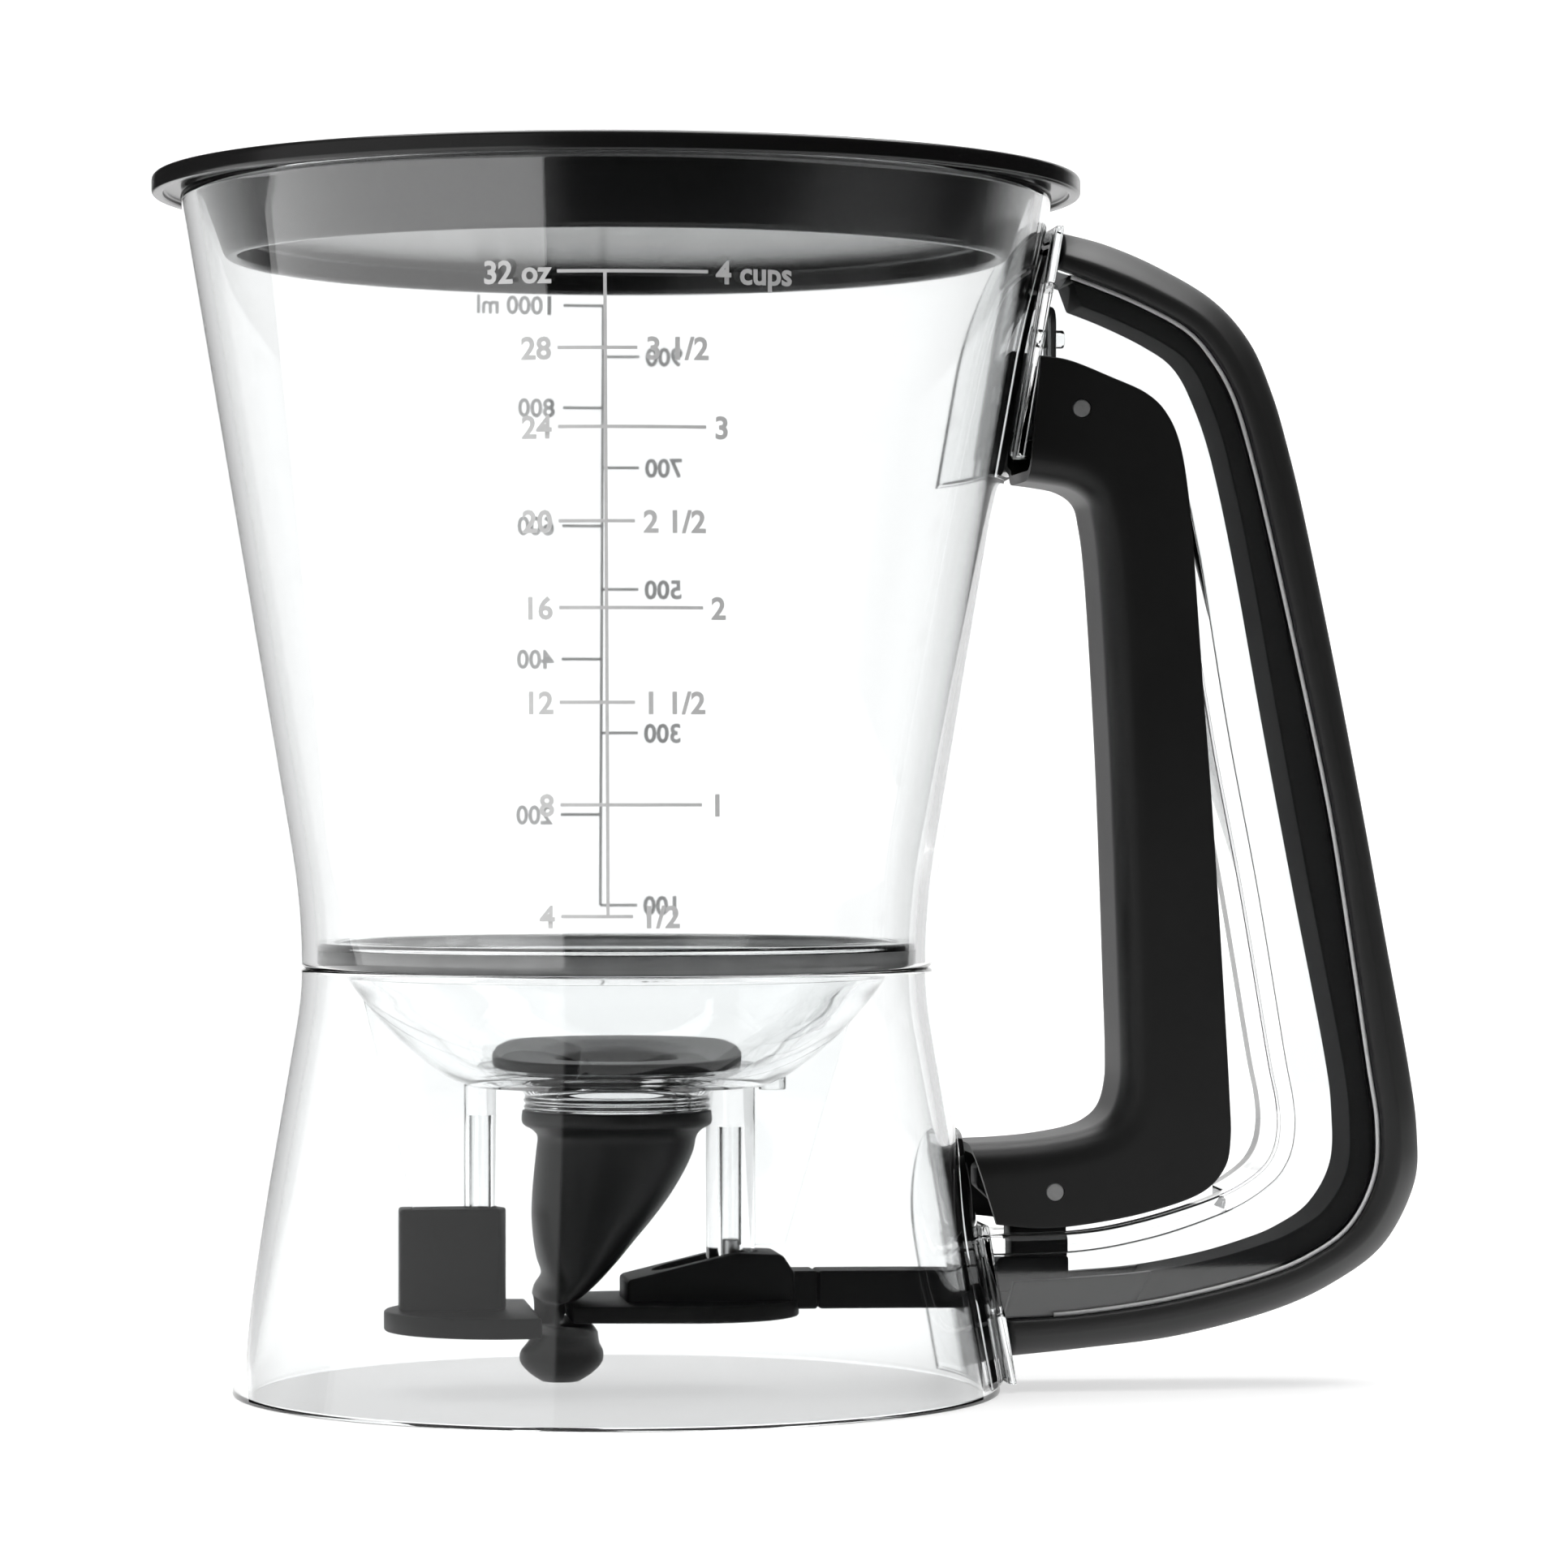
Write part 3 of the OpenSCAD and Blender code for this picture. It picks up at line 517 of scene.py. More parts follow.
# %% Bored posts, fins and boss
left_post, right_post, bore_r = -20.8, 17.4, 1.3
for label, x, radius, low, depth in (("left_post", left_post, 2.5, 13.6, 42),
                                     ("right_post", right_post, 3.75, 15.4, 40)):
    post = cylinder(label, (x, 0), radius, low, 47.2, edge=0.3)
    cut(post, cylinder("bore", (x, 0), bore_r, 5, depth, steps=48))
    clear_part(post)
left_edge, right_edge, fin_half = left_post - 2.3, right_post + 3.6, 0.7
left_fin = prism("left_fin", [[left_edge, 47.5], [-38.6, 60.4], [-31, 27.7], [-31, 22.4], [left_edge, 22.4]],
                 -fin_half, fin_half, bevel=0.2)
right_fin = prism("right_fin", [[right_edge, 46.8], [24, 47.8], [36.4, 58.2], [27.7, 28.4], [25.8, 21.9],
                                [right_edge, 21.9]], -fin_half, fin_half, bevel=0.2)
boss = cylinder("bowl_boss", (23.8, 0), 2.1, 45.6, 48.2, edge=0.3)
for piece in (left_fin, right_fin, boss):
    clear_part(piece)

# %% [markdown]
# ## Handle frame
# The frame is a clear channel that is open towards the palm: a floor on the finger side and
# two side walls. It bends, so it is lofted: at each station a closed U is drawn on the line
# from the floor's inner face to the seam with the grip, and the U is carried along both curves.

# %% Curves of the handle
seam_keys = [[66.5, 170.5], [72.3, 168.5], [79.5, 165.6], [86.7, 161.7], [90.9, 157],
             [94, 151.4], [96.4, 143.9], [99.1, 133.2], [104.2, 110.7], [109, 88.1],
             [112.3, 67.6], [115, 49.7], [116.4, 40.2], [115.9, 32.1], [112.1, 24.6],
             [105.7, 19.9], [97.5, 16.7], [83.5, 13.4], [69.7, 11.5], [58.6, 10.9]]
back_keys = [[68, 176.9], [75.2, 175.1], [83.4, 171.7], [91.9, 166.7], [97.7, 160.2],
             [101.2, 152.2], [103.6, 144.1], [106.2, 133.4], [110.8, 111.3], [115.2, 88.5],
             [119, 68], [122.5, 49.3], [123.9, 38.6], [123.4, 30.4], [118.6, 21.3],
             [110.7, 15.4], [100.9, 11.1], [86, 7.4], [71.6, 5.7], [59.9, 4.6]]
tongue_keys = [[70.4, 165.1], [75.9, 163], [82.4, 159.9], [87, 156.6], [90.1, 151], [93.1, 142],
               [96.7, 125.3], [101.2, 100.5], [105.9, 75.8], [110.8, 50.8], [112, 41.2],
               [111.7, 33.4], [108.3, 27.3], [103.2, 23.8], [98.2, 21.8], [90.7, 19.7],
               [80.6, 17.9], [70.2, 17.1], [60, 16.5]]
floor_keys = [[55.6, 141.6], [69.9, 141.7], [77.3, 141.2], [82.2, 139.5], [84.3, 136],
              [86, 125.3], [90, 100.5], [94.7, 75.8], [98.9, 50.9], [100.2, 44.3], [100.5, 39.8],
              [99.6, 35.8], [96.9, 32.6], [90.7, 29.2], [79.2, 25.7], [68.1, 24], [49.4, 23.7]]
# Points of the seam across from points of the floor, and from the tongue's keys
floor_points = [0.36, *range(1, 16), 15.66]
floor_to_seam = [0, 0.75, 1.75, 3.1, 5.2, 7.2, 8.35, 9.45, 10.9, 11.6, 12.3, 13.3, 14.2, 15.7, 17.2,
                 18.1, 19]
tongue_to_seam = [0.45, 1.3, 2.2, 3.3, 4.7, 6, 7.3, 8.45, 9.6, 10.95, 11.9, 12.85, 13.8, 14.9, 15.8,
                  16.6, 17.4, 18.15, 19]
print("the seam runs from", seam_keys[0], "to", seam_keys[-1])


# %% Sections carried along two curves
def carried(name, inner, outer, section):
    """At each station, u runs from the inner curve (0) to the outer one (l) and y across.
    section(l) gives the closed path of (u, y)."""
    f, g = np.asarray(inner), np.asarray(outer)
    length = np.linalg.norm(g - f, axis=1)
    d = (g - f) / length[:, None]
    rings = []
    for k, l in enumerate(length):
        u, y = section(l).T
        rings.append(np.stack([f[k, 0] + d[k, 0] * u, y, f[k, 1] + d[k, 1] * u], -1))
    return capped(name, np.array(rings))


def channel(name, closed_side, open_side, half, side, floor, outer_r, inner_r, lip):
    """A closed U: an outer path from (l, half) round to (l, -half), and an inner path back, set
    in by the side thickness and the floor thickness. All corners are rounded."""
    edges = [lip, outer_r, outer_r, lip, lip, inner_r, inner_r, lip]

    def section(l):
        corners = [[l, half], [0, half], [0, -half], [l, -half],
                   [l, side - half], [floor, side - half], [floor, half - side], [l, half - side]]
        return rounded(corners, edges, 6)

    return carried(name, closed_side, open_side, section)


# %% Frame
a = np.linspace(0.36, 15.66, 150)
floor_line = curve_at(floor_keys, a)
seam_line = curve_at(seam_keys, np.interp(a, floor_points, floor_to_seam))
handle_frame = channel("handle_channel", floor_line, seam_line, 9.0, 2.0, 2.9, 0.9, 0.5, 0.3)
pivot, link = (69.8, 149.3), (65.7, 30.4)
through = 12    # half length of a cutter that passes the whole handle
cut(handle_frame, cylinder("pivot_cutter", pivot, 1.42, -through, through, axis="y"),
    prism("leg_cutter", box(71.4, 77.6, 138.4, 146.4), -6.9, 6.9, bevel=0),
    prism("rail_cutter", box(58.5, 93, 19.5, 36), -4.5, 4.5, bevel=0))
clear_part(handle_frame, "handle_frame")


# %% End plates and peg
pad_out = 0.4


def pad_x(z):
    """The plane of the weld pads."""
    return float(vessel_r(z) if z > waist_z else skirt_r(z)) + pad_out


def plate(name, low, high, half, thick):
    """A flat plate on a pad's sloping plane."""
    near, far = pad_x(low), pad_x(high)
    return prism(name, [[near + 0.02, low], [near + thick, low], [far + thick, high], [far + 0.02, high]],
                 -half, half, bevel=0.35)


clear_part(plate("upper_plate", 141.7, 177.0, 9.0, 1.45))
clear_part(plate("upper_tab", 168.3, 177.05, 11.0, 1.4))
lower_plate = clear_part(plate("lower_plate", 1.2, 25.3, 9.0, 1.45))
clear_part(plate("lower_tab", 1.25, 11.6, 11.0, 1.4))
cut(lower_plate, slot_cutter("passage_cutter", 50, 62))
peg_profile = rounded([[0, 63.6], [1.4, 63.6], [1.4, 68.8], [0, 68.8]], [0, 0.1, 0.4, 0], 3, False)
peg = turned("spring_peg", peg_profile, 48, poles=True)
move_points(peg, [2, 1, 0], [1, 1, -1], [0, 0, 160.5])
clear_part(peg)


# %% [markdown]
# ## Grip
# The palm side is a soft black moulding. It has flat sides, a soft crease and an arched back, and
# a tongue fills the open side of the channel, so it shows dark through the clear walls.

# %% Crowned back
def crown_section(half, side=0.34, rise=5.0, top=0.995, points=27):
    """(y, u) once round: flat sides up to u = side, then a circular arc over the back, whose
    radius (half^2 + rise^2) / (2 rise) leaves a soft crease along each side."""
    radius = (half ** 2 + rise ** 2) / (2 * rise)
    y = np.linspace(half - 0.5, 0.5 - half, points)
    arch = side + (top - side) * (np.sqrt(radius ** 2 - y ** 2) - (radius - rise)) / rise
    edge = np.array([[half - 0.35, 0], [half, 0.05], [half, side - 0.07], [half - 0.07, side - 0.005],
                     [half - 0.25, side + 0.035]])
    base = np.linspace(0.35 - half, half - 0.35, points + 8)[1:-1]
    return np.vstack([edge, np.stack([y, arch], -1), edge[::-1] * [-1, 1], np.stack([base, 0 * base], -1)])


def crown_rings(p, q, half):
    """The section at each station, with u running from the seam p to the back q."""
    y, u = crown_section(half).T
    step = (q - p)[:, None]
    return np.stack([p[:, None, 0] + step[..., 0] * u, y + 0 * p[:, None, 0],
                     p[:, None, 1] + step[..., 1] * u], -1)


grip_half = 11.0
b = np.linspace(0.02, 18.98, 190)
rings = crown_rings(curve_at(seam_keys, b), curve_at(back_keys, b), grip_half)
dress(capped("grip_back", rings), "dispenser", grip_black, "soft_grip", "handle_grip")

# %% [markdown]
# ## Tongue and seam
# A narrow slit of clear plastic shows between the tongue and the back, so the tongue ends a
# little short of the seam and short ties hold it. Past the bend's foot it splits into two rails,
# with the pull bar between them. The clear walls end at the seam in a rounded bead, which is
# painted pale and only partly clear: a painted highlight for the light that the lip catches.


# %% Tongue and ties
def bar(name, inner, outer, low, high, edge=0.6):
    """A rounded rectangle between two curves, from y low to y high."""
    return carried(name, inner, outer,
                   lambda l: rounded([[0, low], [0, high], [l, high], [l, low]], edge))


def tongue_curves(c):
    """The tongue's inner edge and the seam across from it."""
    return curve_at(tongue_keys, c), curve_at(seam_keys, np.interp(c, range(19), tongue_to_seam))


def short_of(inner, outer, slit):
    """The outer curve drawn back towards the inner one by the slit."""
    step = outer - inner
    return outer - step / np.linalg.norm(step, axis=1)[:, None] * slit


tongue_half, tie_half, tongue_end = 6.9, 6.5, 15.95
inner, outer = tongue_curves(np.linspace(0, tongue_end, 130))
tongue = bar("grip_tongue", inner, short_of(inner, outer, 0.7), -tongue_half, tongue_half)
dress(tongue, "dispenser", tongue_painted_lighter, "soft_grip")
for label, low, high in (("upper_tie", 0, 4.2), ("middle_tie", 6.4, 6.9), ("lower_tie", 7.9, 8.2),
                         ("bend_tie", 10.7, 10.9), ("foot_tie", 15.0, 15.6)):
    inner, outer = tongue_curves(np.linspace(low, high, 24))
    tie = bar(label, short_of(inner, outer, 1.2), outer + 0.02 * (outer - inner), -tie_half, tie_half, 0.1)
    dress(tie, "dispenser", grip_black, "soft_grip")

# %% Beads along the seam
bead_r, bead_y, bead_in, handle_middle = 0.34, 8.98, 0.42, np.array([75, 95])
seam_s = curve_at(seam_keys, np.linspace(0.45, 18.3, 180))
along = np.gradient(seam_s, axis=0)
along /= np.linalg.norm(along, axis=1)[:, None]
inward = np.stack([along[:, 1], -along[:, 0]], -1)
inward = inward * np.sign(np.sum(inward * (handle_middle - seam_s), axis=1))[:, None]
line = seam_s + bead_in * inward
# Each bead carries the seam's painted highlight.
for label, side in (("near_seam_bead", -bead_y), ("far_seam_bead", bead_y)):
    bead = tube(label, np.stack([line[:, 0], np.full(len(line), side), line[:, 1]], -1), bead_r, 12)
    dress(bead, "dispenser", seam_highlight_paint, "clear_plastic")

# %% Rails
inner, outer = tongue_curves(np.linspace(tongue_end, 18, 20))
for label, low, high in (("near_rail_of_the_grip", -6.9, -4.6), ("far_rail_of_the_grip", 4.6, 6.9)):
    dress(bar(label, inner, outer, low, high, 0.4), "dispenser", grip_black, "soft_grip")

# %% [markdown]
# ## Trigger and its pins
# The trigger is the same kind of closed U as the frame, turned round: its closed side faces the
# fingers, and its side walls straddle the frame. The two pins sit flush in its walls.

# %% Trigger
finger_keys = [[61.9, 138.4], [65, 138], [68.2, 137.4], [70.4, 136.3], [71.7, 134.7],
               [72.3, 132], [72.9, 127.8], [73.6, 119.3], [74.4, 106.1], [75.1, 92],
               [75.7, 75.6], [76.2, 60.7], [76.5, 51.6], [76.4, 46.7], [75.4, 42.9],
               [73.3, 40.7], [70.1, 39.4], [64.4, 38.4], [58.6, 37.9], [52.9, 37.7]]
edge_keys = [[63.5, 157.3], [68, 156.6], [74.2, 154.2], [79.8, 151.7], [83.1, 148.4],
             [85.2, 143.1], [86.6, 133.5], [87.6, 120.3], [88.6, 106.2], [89.7, 92],
             [90.8, 75.8], [91.8, 59.6], [92.6, 45.4], [92.8, 38.3], [91.8, 33.7], [88.1, 30],
             [80.3, 27.3], [71.6, 25.6], [64, 24.9], [56.8, 25.5]]
t = np.linspace(0, 19, 170)
trigger = channel("trigger_shell", curve_at(finger_keys, t), curve_at(edge_keys, t),
                  11.2, 1.6, 1.6, 5.0, 2.4, 0.3)
cut(trigger, cylinder("pivot_hole", pivot, 1.46, -through, through, axis="y"),
    cylinder("link_hole", link, 1.42, -through, through, axis="y"))
dress(trigger, "trigger", trigger_black, "black_plastic", "trigger")
pin_r, pin_half = 1.4, 11.1
for label, centre, body, node in (("pivot_pin_head", pivot, "dispenser", "pivot_pin"),
                                  ("link_pin_head", link, "trigger", "link_pin")):
    pin = cylinder(label, centre, pin_r, -pin_half, pin_half, axis="y", edge=0.25, steps=48)
    dress(pin, body, pin_steel, "steel", node)

# %% [markdown]
# ## Return spring
# A double torsion spring: two legs press on the inside of the trigger, the wire winds three
# turns round the pivot pin on each side, and a loop in the middle hooks over the clear peg.

# %% Spring wire
wire_r, coil_r, turns, near_y = 0.65, 3.2, 3, 2.2
loop_x, loop_z = 66.6, 162.7
s = np.linspace(0, turns + 0.5, 113)
angle = -2 * np.pi * s
coil = np.stack([pivot[0] + coil_r * np.cos(angle), near_y + 2 * wire_r * np.maximum(0, turns - s),
                 pivot[1] + coil_r * np.sin(angle)], -1)
leg_foot = np.array([75.9, near_y + turns * 2 * wire_r, 129.3])
leg = leg_foot + (coil[0] - leg_foot) * np.linspace(0, 1, 12)[:-1, None]
up = np.array([loop_x, near_y, loop_z])
rise_line = coil[-1] + (up - coil[-1]) * np.linspace(0, 1, 8)[1:-1, None]
bow = np.linspace(0, np.pi / 2, 12)
loop = np.stack([np.full(12, loop_x), near_y * np.cos(bow), loop_z + near_y * np.sin(bow)], -1)
half = np.vstack([leg, coil, rise_line, loop])
wire = np.vstack([half, half[-2::-1] * [1, -1, 1]])
spring = tube("return_spring_wire", wire, wire_r, 14)
dress(spring, None, steel, "steel", "return_spring")
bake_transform(spring)

# %% [markdown]
# ## Valve
# Two round-ended plates pinch the silicone sleeve. The left one is screwed to a post, the right
# one hangs on a wide-headed screw and slides when the trigger pulls the bar.

# %% Jaws
def arc(centre, radius, start, end, count):
    """Points (c + r cos a, r sin a), with a from start to end in degrees."""
    s = np.radians(np.linspace(start, end, count))
    return np.stack([centre + radius * np.cos(s), radius * np.sin(s)], -1)


def side_angle(reach, radius):
    """Angle at which a circle of the radius meets an upright line at the reach from its centre."""
    return math.degrees(math.acos(reach / radius))


disc_x, disc_r, disc_end = -17.6, 17.8, -12.7
corner = side_angle(disc_end - disc_x, disc_r)
fixed_plate = prism("fixed_jaw_plate", arc(disc_x, disc_r, corner, 360 - corner, 120), 9.5, 12.6, "z")
socket = prism("fixed_jaw_socket", [[-33.1, -3.5], [-21.0, -4.0], [-18.2, -3.4], [-16.8, 0], [-18.2, 3.4],
                                    [-21.0, 4.0], [-33.1, 3.5]], 12.5, 28.0, "z", 0.5)
for piece, nodes in ((fixed_plate, ["fixed_jaw"]), (socket, [])):
    dress(piece, "dispenser", jaw_black, "black_plastic", *nodes)
cut(fixed_plate, cylinder("counterbore", (left_post, 0), 3.3, 5, 11.8))
cut(socket, cylinder("post_socket", (left_post, 0), 2.6, 13.2, 30),
    prism("fin_socket", box(-31.3, -20, 22.2, 30), -0.85, 0.85, bevel=0))
wide_x, wide_r, nose_x, nose_r, nose_end, lean, seam_turn = 11.8, 16.0, -3, 14.0, -7.8, 97.77, 0.1
corner = side_angle(nose_end - nose_x, nose_r)
outline = np.vstack([arc(wide_x, wide_r, -lean, lean, 110),
                     arc(nose_x, nose_r, lean + seam_turn, corner, 12),
                     arc(nose_x, nose_r, 360 - corner, 360 - lean - seam_turn, 12)])
moving_plate = prism("moving_jaw_plate", outline, 11.4, 13.9, "z")
wedge = prism("wedge_block", [[1, 13], [1, 17.2], [17.6, 21.2], [24.6, 20.9], [26.4, 18.2], [26.4, 13]],
              -6.8, 6.8, bevel=0.6)


def slot_outline(x0, x1, r):
    """A slot along x with round ends."""
    s = np.linspace(-np.pi / 2, np.pi / 2, 24)
    right = np.stack([x1 - r + r * np.cos(s), r * np.sin(s)], -1)
    left = np.stack([x0 + r - r * np.cos(s), -r * np.sin(s)], -1)
    return np.vstack([right, left])


for piece, nodes in ((moving_plate, ["moving_jaw"]), (wedge, [])):
    post_slot = slot_outline(right_post - 12.1, right_post + 4.2, 4.05)
    head_slot = slot_outline(right_post - 13.3, right_post + 5.4, 5.3)
    cut(piece, prism("post_slot", post_slot, 10, 30, "z", 0), prism("head_slot", head_slot, 10, 15.6, "z", 0))
    dress(piece, "slider", jaw_black, "black_plastic", *nodes)

# %% Pull bar
arm = prism("pull_bar_arm", box(24, 30.3, 12.4, 18.2), -4, 4)
rod = prism("pull_bar", [[30.5, 12.4], [57.9, 12.4], [57.9, 14.7], [68.9, 14.7], [68.9, 20.2],
                         [58.5, 20.2], [57.5, 19.2], [57.5, 18.2], [30.5, 18.2]], -4, 4, bevel=0.5)
lug = prism("pull_bar_lug", [[60, 18.6], [60, 26.1], [54.9, 30.9], [54.9, 33.9], [55.7, 34.4], [66.6, 35],
                             [68.2, 33.6], [68.8, 30.9], [68.8, 18.6]], -3.2, 3.2, bevel=0.5)
cut(lug, cylinder("lug_hole", link, 1.6, -8, 8, axis="y"))
for piece, nodes in ((arm, []), (rod, ["pull_bar"]), (lug, [])):
    dress(piece, "slider", jaw_black, "black_plastic", *nodes)

# %% Screws
def screw(name, x, head_r, head, tip=23, shaft_r=1.25):
    """A head with rounded edges and a shaft up into the post, turned in one profile."""
    low, high = head
    profile = rounded([[0, low], [head_r, low], [head_r, high], [shaft_r, high], [shaft_r, tip], [0, tip]],
                      [0, 0.35, 0.3, 0.1, 0.3, 0], 3, False)
    return turned(name, profile, 64, (x, 0), poles=True)


dress(screw("bracket_screw_head", left_post, 3.1, (9.9, 11.8)), "dispenser", steel, "steel", "bracket_screw")
guide = screw("guide_screw_head", right_post, 5.0, (13.0, 15.3))
cut(guide, prism("cross_one", box(15.2, 19.6, 12.5, 14.1), -0.45, 0.45, bevel=0))
dress(guide, "dispenser", steel, "steel", "guide_screw")

# %% [markdown]
# ## Sleeve
# The silicone sleeve hangs from the neck and is pinched flat between the jaws, so its section
# is an ellipse that changes from row to row. Its upper end widens into a flat ring that lies
# in the bowl and shows dark through it. The sleeve follows the fixed jaw on one side and the
# moving jaw on the other; it rides on no body and stays where it is drawn.

# %% Sleeve and its ring
sleeve_rows = [[42.6, -14.4, 14.4, 14.4], [40.7, -14.4, 14.4, 14.4], [39.7, -12.9, 12.9, 12.9],
               [38.6, -12.1, 12.1, 12.1], [36.4, -12.3, 11.6, 12], [33.5, -12.6, 10.3, 12],
               [30, -12.9, 8.2, 12.3], [26.5, -13, 5.6, 12.8], [23, -12.7, 2.6, 13.3],
               [20.2, -12.2, 0.2, 13.7], [17.8, -11.5, -2.1, 14], [16, -12.5, -4, 14],
               [14.7, -12.8, -5.8, 14], [14.2, -12.6, -8.1, 14], [12.9, -12.4, -8.1, 14],
               [11.1, -12.4, -8.1, 13.2], [10.5, -12.4, -4.4, 11], [9.3, -12.4, -3.1, 9.4],
               [8.5, -12.9, -2.9, 8.6], [7.4, -13.6, -2.7, 7.8], [6, -14.7, -2.1, 6.6],
               [4.4, -14.7, -2.3, 6.3], [2.8, -13.3, -3.8, 5.2], [1.6, -11.5, -5.7, 3.4]]


def sleeve_rings(rows, inset, around=72):
    """Ellipses at the rows' heights, drawn in by the inset: x from left to right, y to the half
    width. A pinched row keeps a thin gap."""
    z, left, right, half = np.asarray(rows, float).T[:, :, None]
    s = np.linspace(0, 2 * np.pi, around, endpoint=False)[None, :]
    reach = np.maximum((right - left) / 2 - inset, 0.12)
    return np.stack([(left + right) / 2 + reach * np.cos(s), np.maximum(half - inset, 0.5) * np.sin(s),
                     z + 0 * s], -1)


t = np.linspace(0, len(sleeve_rows) - 1, 110)
dense = curve_at(sleeve_rows, t)
outer_rings = sleeve_rings(dense, 0)
wall_z, wall_thick = [0, 38, 39.6, 45], [0.9, 0.9, 2.6, 3.4]
inset = np.interp(dense[:, 0], wall_z, wall_thick)[:, None]
inner_rings = sleeve_rings(dense, inset)[::-1]
sleeve = lofted("valve_sleeve_skin", np.concatenate([outer_rings, inner_rings]), loop=True)
dress(sleeve, None, sleeve_black, "silicone", "valve_sleeve")
flange_profile = [[9.3, 48.95], [19.0, 48.98], [19.1, 51.2], [12, 51.0], [9.3, 50.4]]
dress(turned("sleeve_flange", rounded(flange_profile, 0.5), 160), "dispenser", sleeve_black, "silicone")
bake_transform(sleeve)

# %% [markdown]
# ## Lid
# The lid is turned: a plug that reaches into the mouth, a flat rim over the vessel's edge with
# a small lip round the outside, and a shallow dish on top.

# %% Lid
seat, top = rim_z + 0.3, 184.2
lid_profile = [[0, 175], [57.2, 175], [57.5, 171.55], [59.3, 171.55], [63.2, seat], [68.7, seat],
               [68.7, 181.3], [70.45, 181.3], [70.45, top], [59.3, top], [56.4, 176.95], [0, 176.95]]
edge_radii = [0, 0.5, 0.75, 0.8, 0.5, 0.4, 0.5, 0.7, 0.9, 0.9, 1.2, 0]
dress(turned("lid_shell", rounded(lid_profile, edge_radii, 5, False), 256, poles=True),
      "lid", lid_black, "lid_plastic", "lid")

# %% [markdown]
# ## Printed scale
# Pale grey ink on the outside of the wall: a vertical line and level marks on the front, in
# ounces and cups, and another in millilitres on the back. Numbers are made as text, turned into
# a mesh, and wrapped: a flat x becomes an angle round the cone, and a flat z stays a height.


# %% Wrapping flat marks on the cone
view_turn = math.radians(-7)    # the print and the camera face a little to the left of the handle
stroke_w, bolder = 0.48, 0.12


def wrapped(flat, back, lift=0.04):
    """(s, z) on the flat goes to angle s / R(z), at radius R(z) + lift, on the front or the back."""
    s, z = flat[:, 0], flat[:, 1]
    r = vessel_r(z) + lift
    turn = s / r + view_turn
    sign = 1.0 if back else -1.0
    return np.stack([-sign * r * np.sin(turn), sign * r * np.cos(turn), z], -1)


def stroke(s0, z0, s1, z1, back):
    """A straight mark as a strip of small quads, so it can follow the wall."""
    n = 12
    t = np.linspace(0, 1, n)[:, None]
    a, b = np.array([s0, z0]), np.array([s1, z1])
    across_it = np.array([-(b - a)[1], (b - a)[0]]) / np.linalg.norm(b - a) * stroke_w / 2
    line = a + (b - a) * t
    flat = np.concatenate([line - across_it, line + across_it])
    i = np.arange(n - 1)
    return wrapped(flat, back), np.stack([i, i + 1, i + 1 + n, i + n], -1)


def lettering(text, s, z, size, back, align="LEFT"):
    """Text as a mesh, its height centred on z, wrapped on the wall."""
    font = bpy.data.curves.new("mark", "FONT")
    font.body, font.size, font.align_x, font.resolution_u = text, size * MM, align, 3
    font.offset = bolder * MM
    holder = bpy.data.objects.new("mark", font)
    bpy.context.collection.objects.link(holder)
    mesh = bpy.data.meshes.new_from_object(holder.evaluated_get(bpy.context.evaluated_depsgraph_get()))
    points = np.empty(len(mesh.vertices) * 3)
    mesh.vertices.foreach_get("co", points)
    flat = points.reshape(-1, 3)[:, :2] / MM
    faces = [list(p.vertices) for p in mesh.polygons]
    bpy.data.objects.remove(holder)
    bpy.data.curves.remove(font)
    bpy.data.meshes.remove(mesh)
    return wrapped(flat + [s, z - 0.36 * size], back), faces


def printed(name, parts, material):
    """Joins marks into one thin sheet of ink."""
    points, faces, start = [], [], 0
    for p, f in parts:
        points.append(p)
        faces += [[start + int(i) for i in face] for face in f]
        start += len(p)
    piece = mesh_piece(name, np.vstack(points), faces, closed=False)
    return dress(piece, "dispenser", material, "clear_plastic")


# %% Front and back scales
front_line, back_line = 0.1, 4.1
front_marks = [(164.9, 14.8, "32 oz", "4 cups"), (154.2, 4.65, "28", "3 1/2"), (143.1, 14.5, "24", "3"),
               (129.8, 4.2, "20", "2 1/2"), (117.5, 14.0, "16", "2"), (104.0, 4.1, "12", "1 1/2"),
               (89.3, 13.8, "8", "1"), (73.2, 3.7, "4", "1/2")]
parts = [stroke(front_line, front_marks[-1][0], front_line, front_marks[0][0], False)]
for z, reach, left, right in front_marks:
    parts.append(stroke(-6.7, z, reach, z, False))
    parts.append(lettering(left, -7.6, z, 4.4, False, "RIGHT"))
    parts.append(lettering(right, reach + 1.2, z, 4.4, False))
printed("front_scale", parts, ink)
back_marks = [170.1, 161.7, 153.3, 143.5, 134.0, 123.7, 112.4, 100.5, 87.4, 72.9]
parts = [stroke(back_line, back_marks[-1], back_line, back_marks[0], True)]
for k, z in enumerate(back_marks):
    mark = str(1000 - 100 * k) + (" ml" if k == 0 else "")
    if k % 2:
        parts += [stroke(-2.0, z, back_line, z, True), lettering(mark, -3.0, z, 4.2, True, "RIGHT")]
    else:
        parts += [stroke(back_line, z, 10.75, z, True), lettering(mark, 12.1, z, 4.2, True)]
printed("back_scale", parts, back_ink)

# %% [markdown]
# ## Stage
# Clear and glossy black pieces show what stands round them more than their own colour. So the
# stage is made of sheets of white paper that also glow: a floor and a backdrop behind the
# vessel, brighter sheets on the left and above for the highlights, and a dim card for the
# darker half of a reflection. Two soft lamps make the shadow.

# %% Paper
def ray_fields(t, first, *others):
    """Outputs of one Light Path node, which tell what kind of ray looks at a surface."""
    field = t.node("ShaderNodeLightPath", {}, {}, first)
    return [field] + [Field(t.tree, field.socket.node.outputs[name]) for name in others]


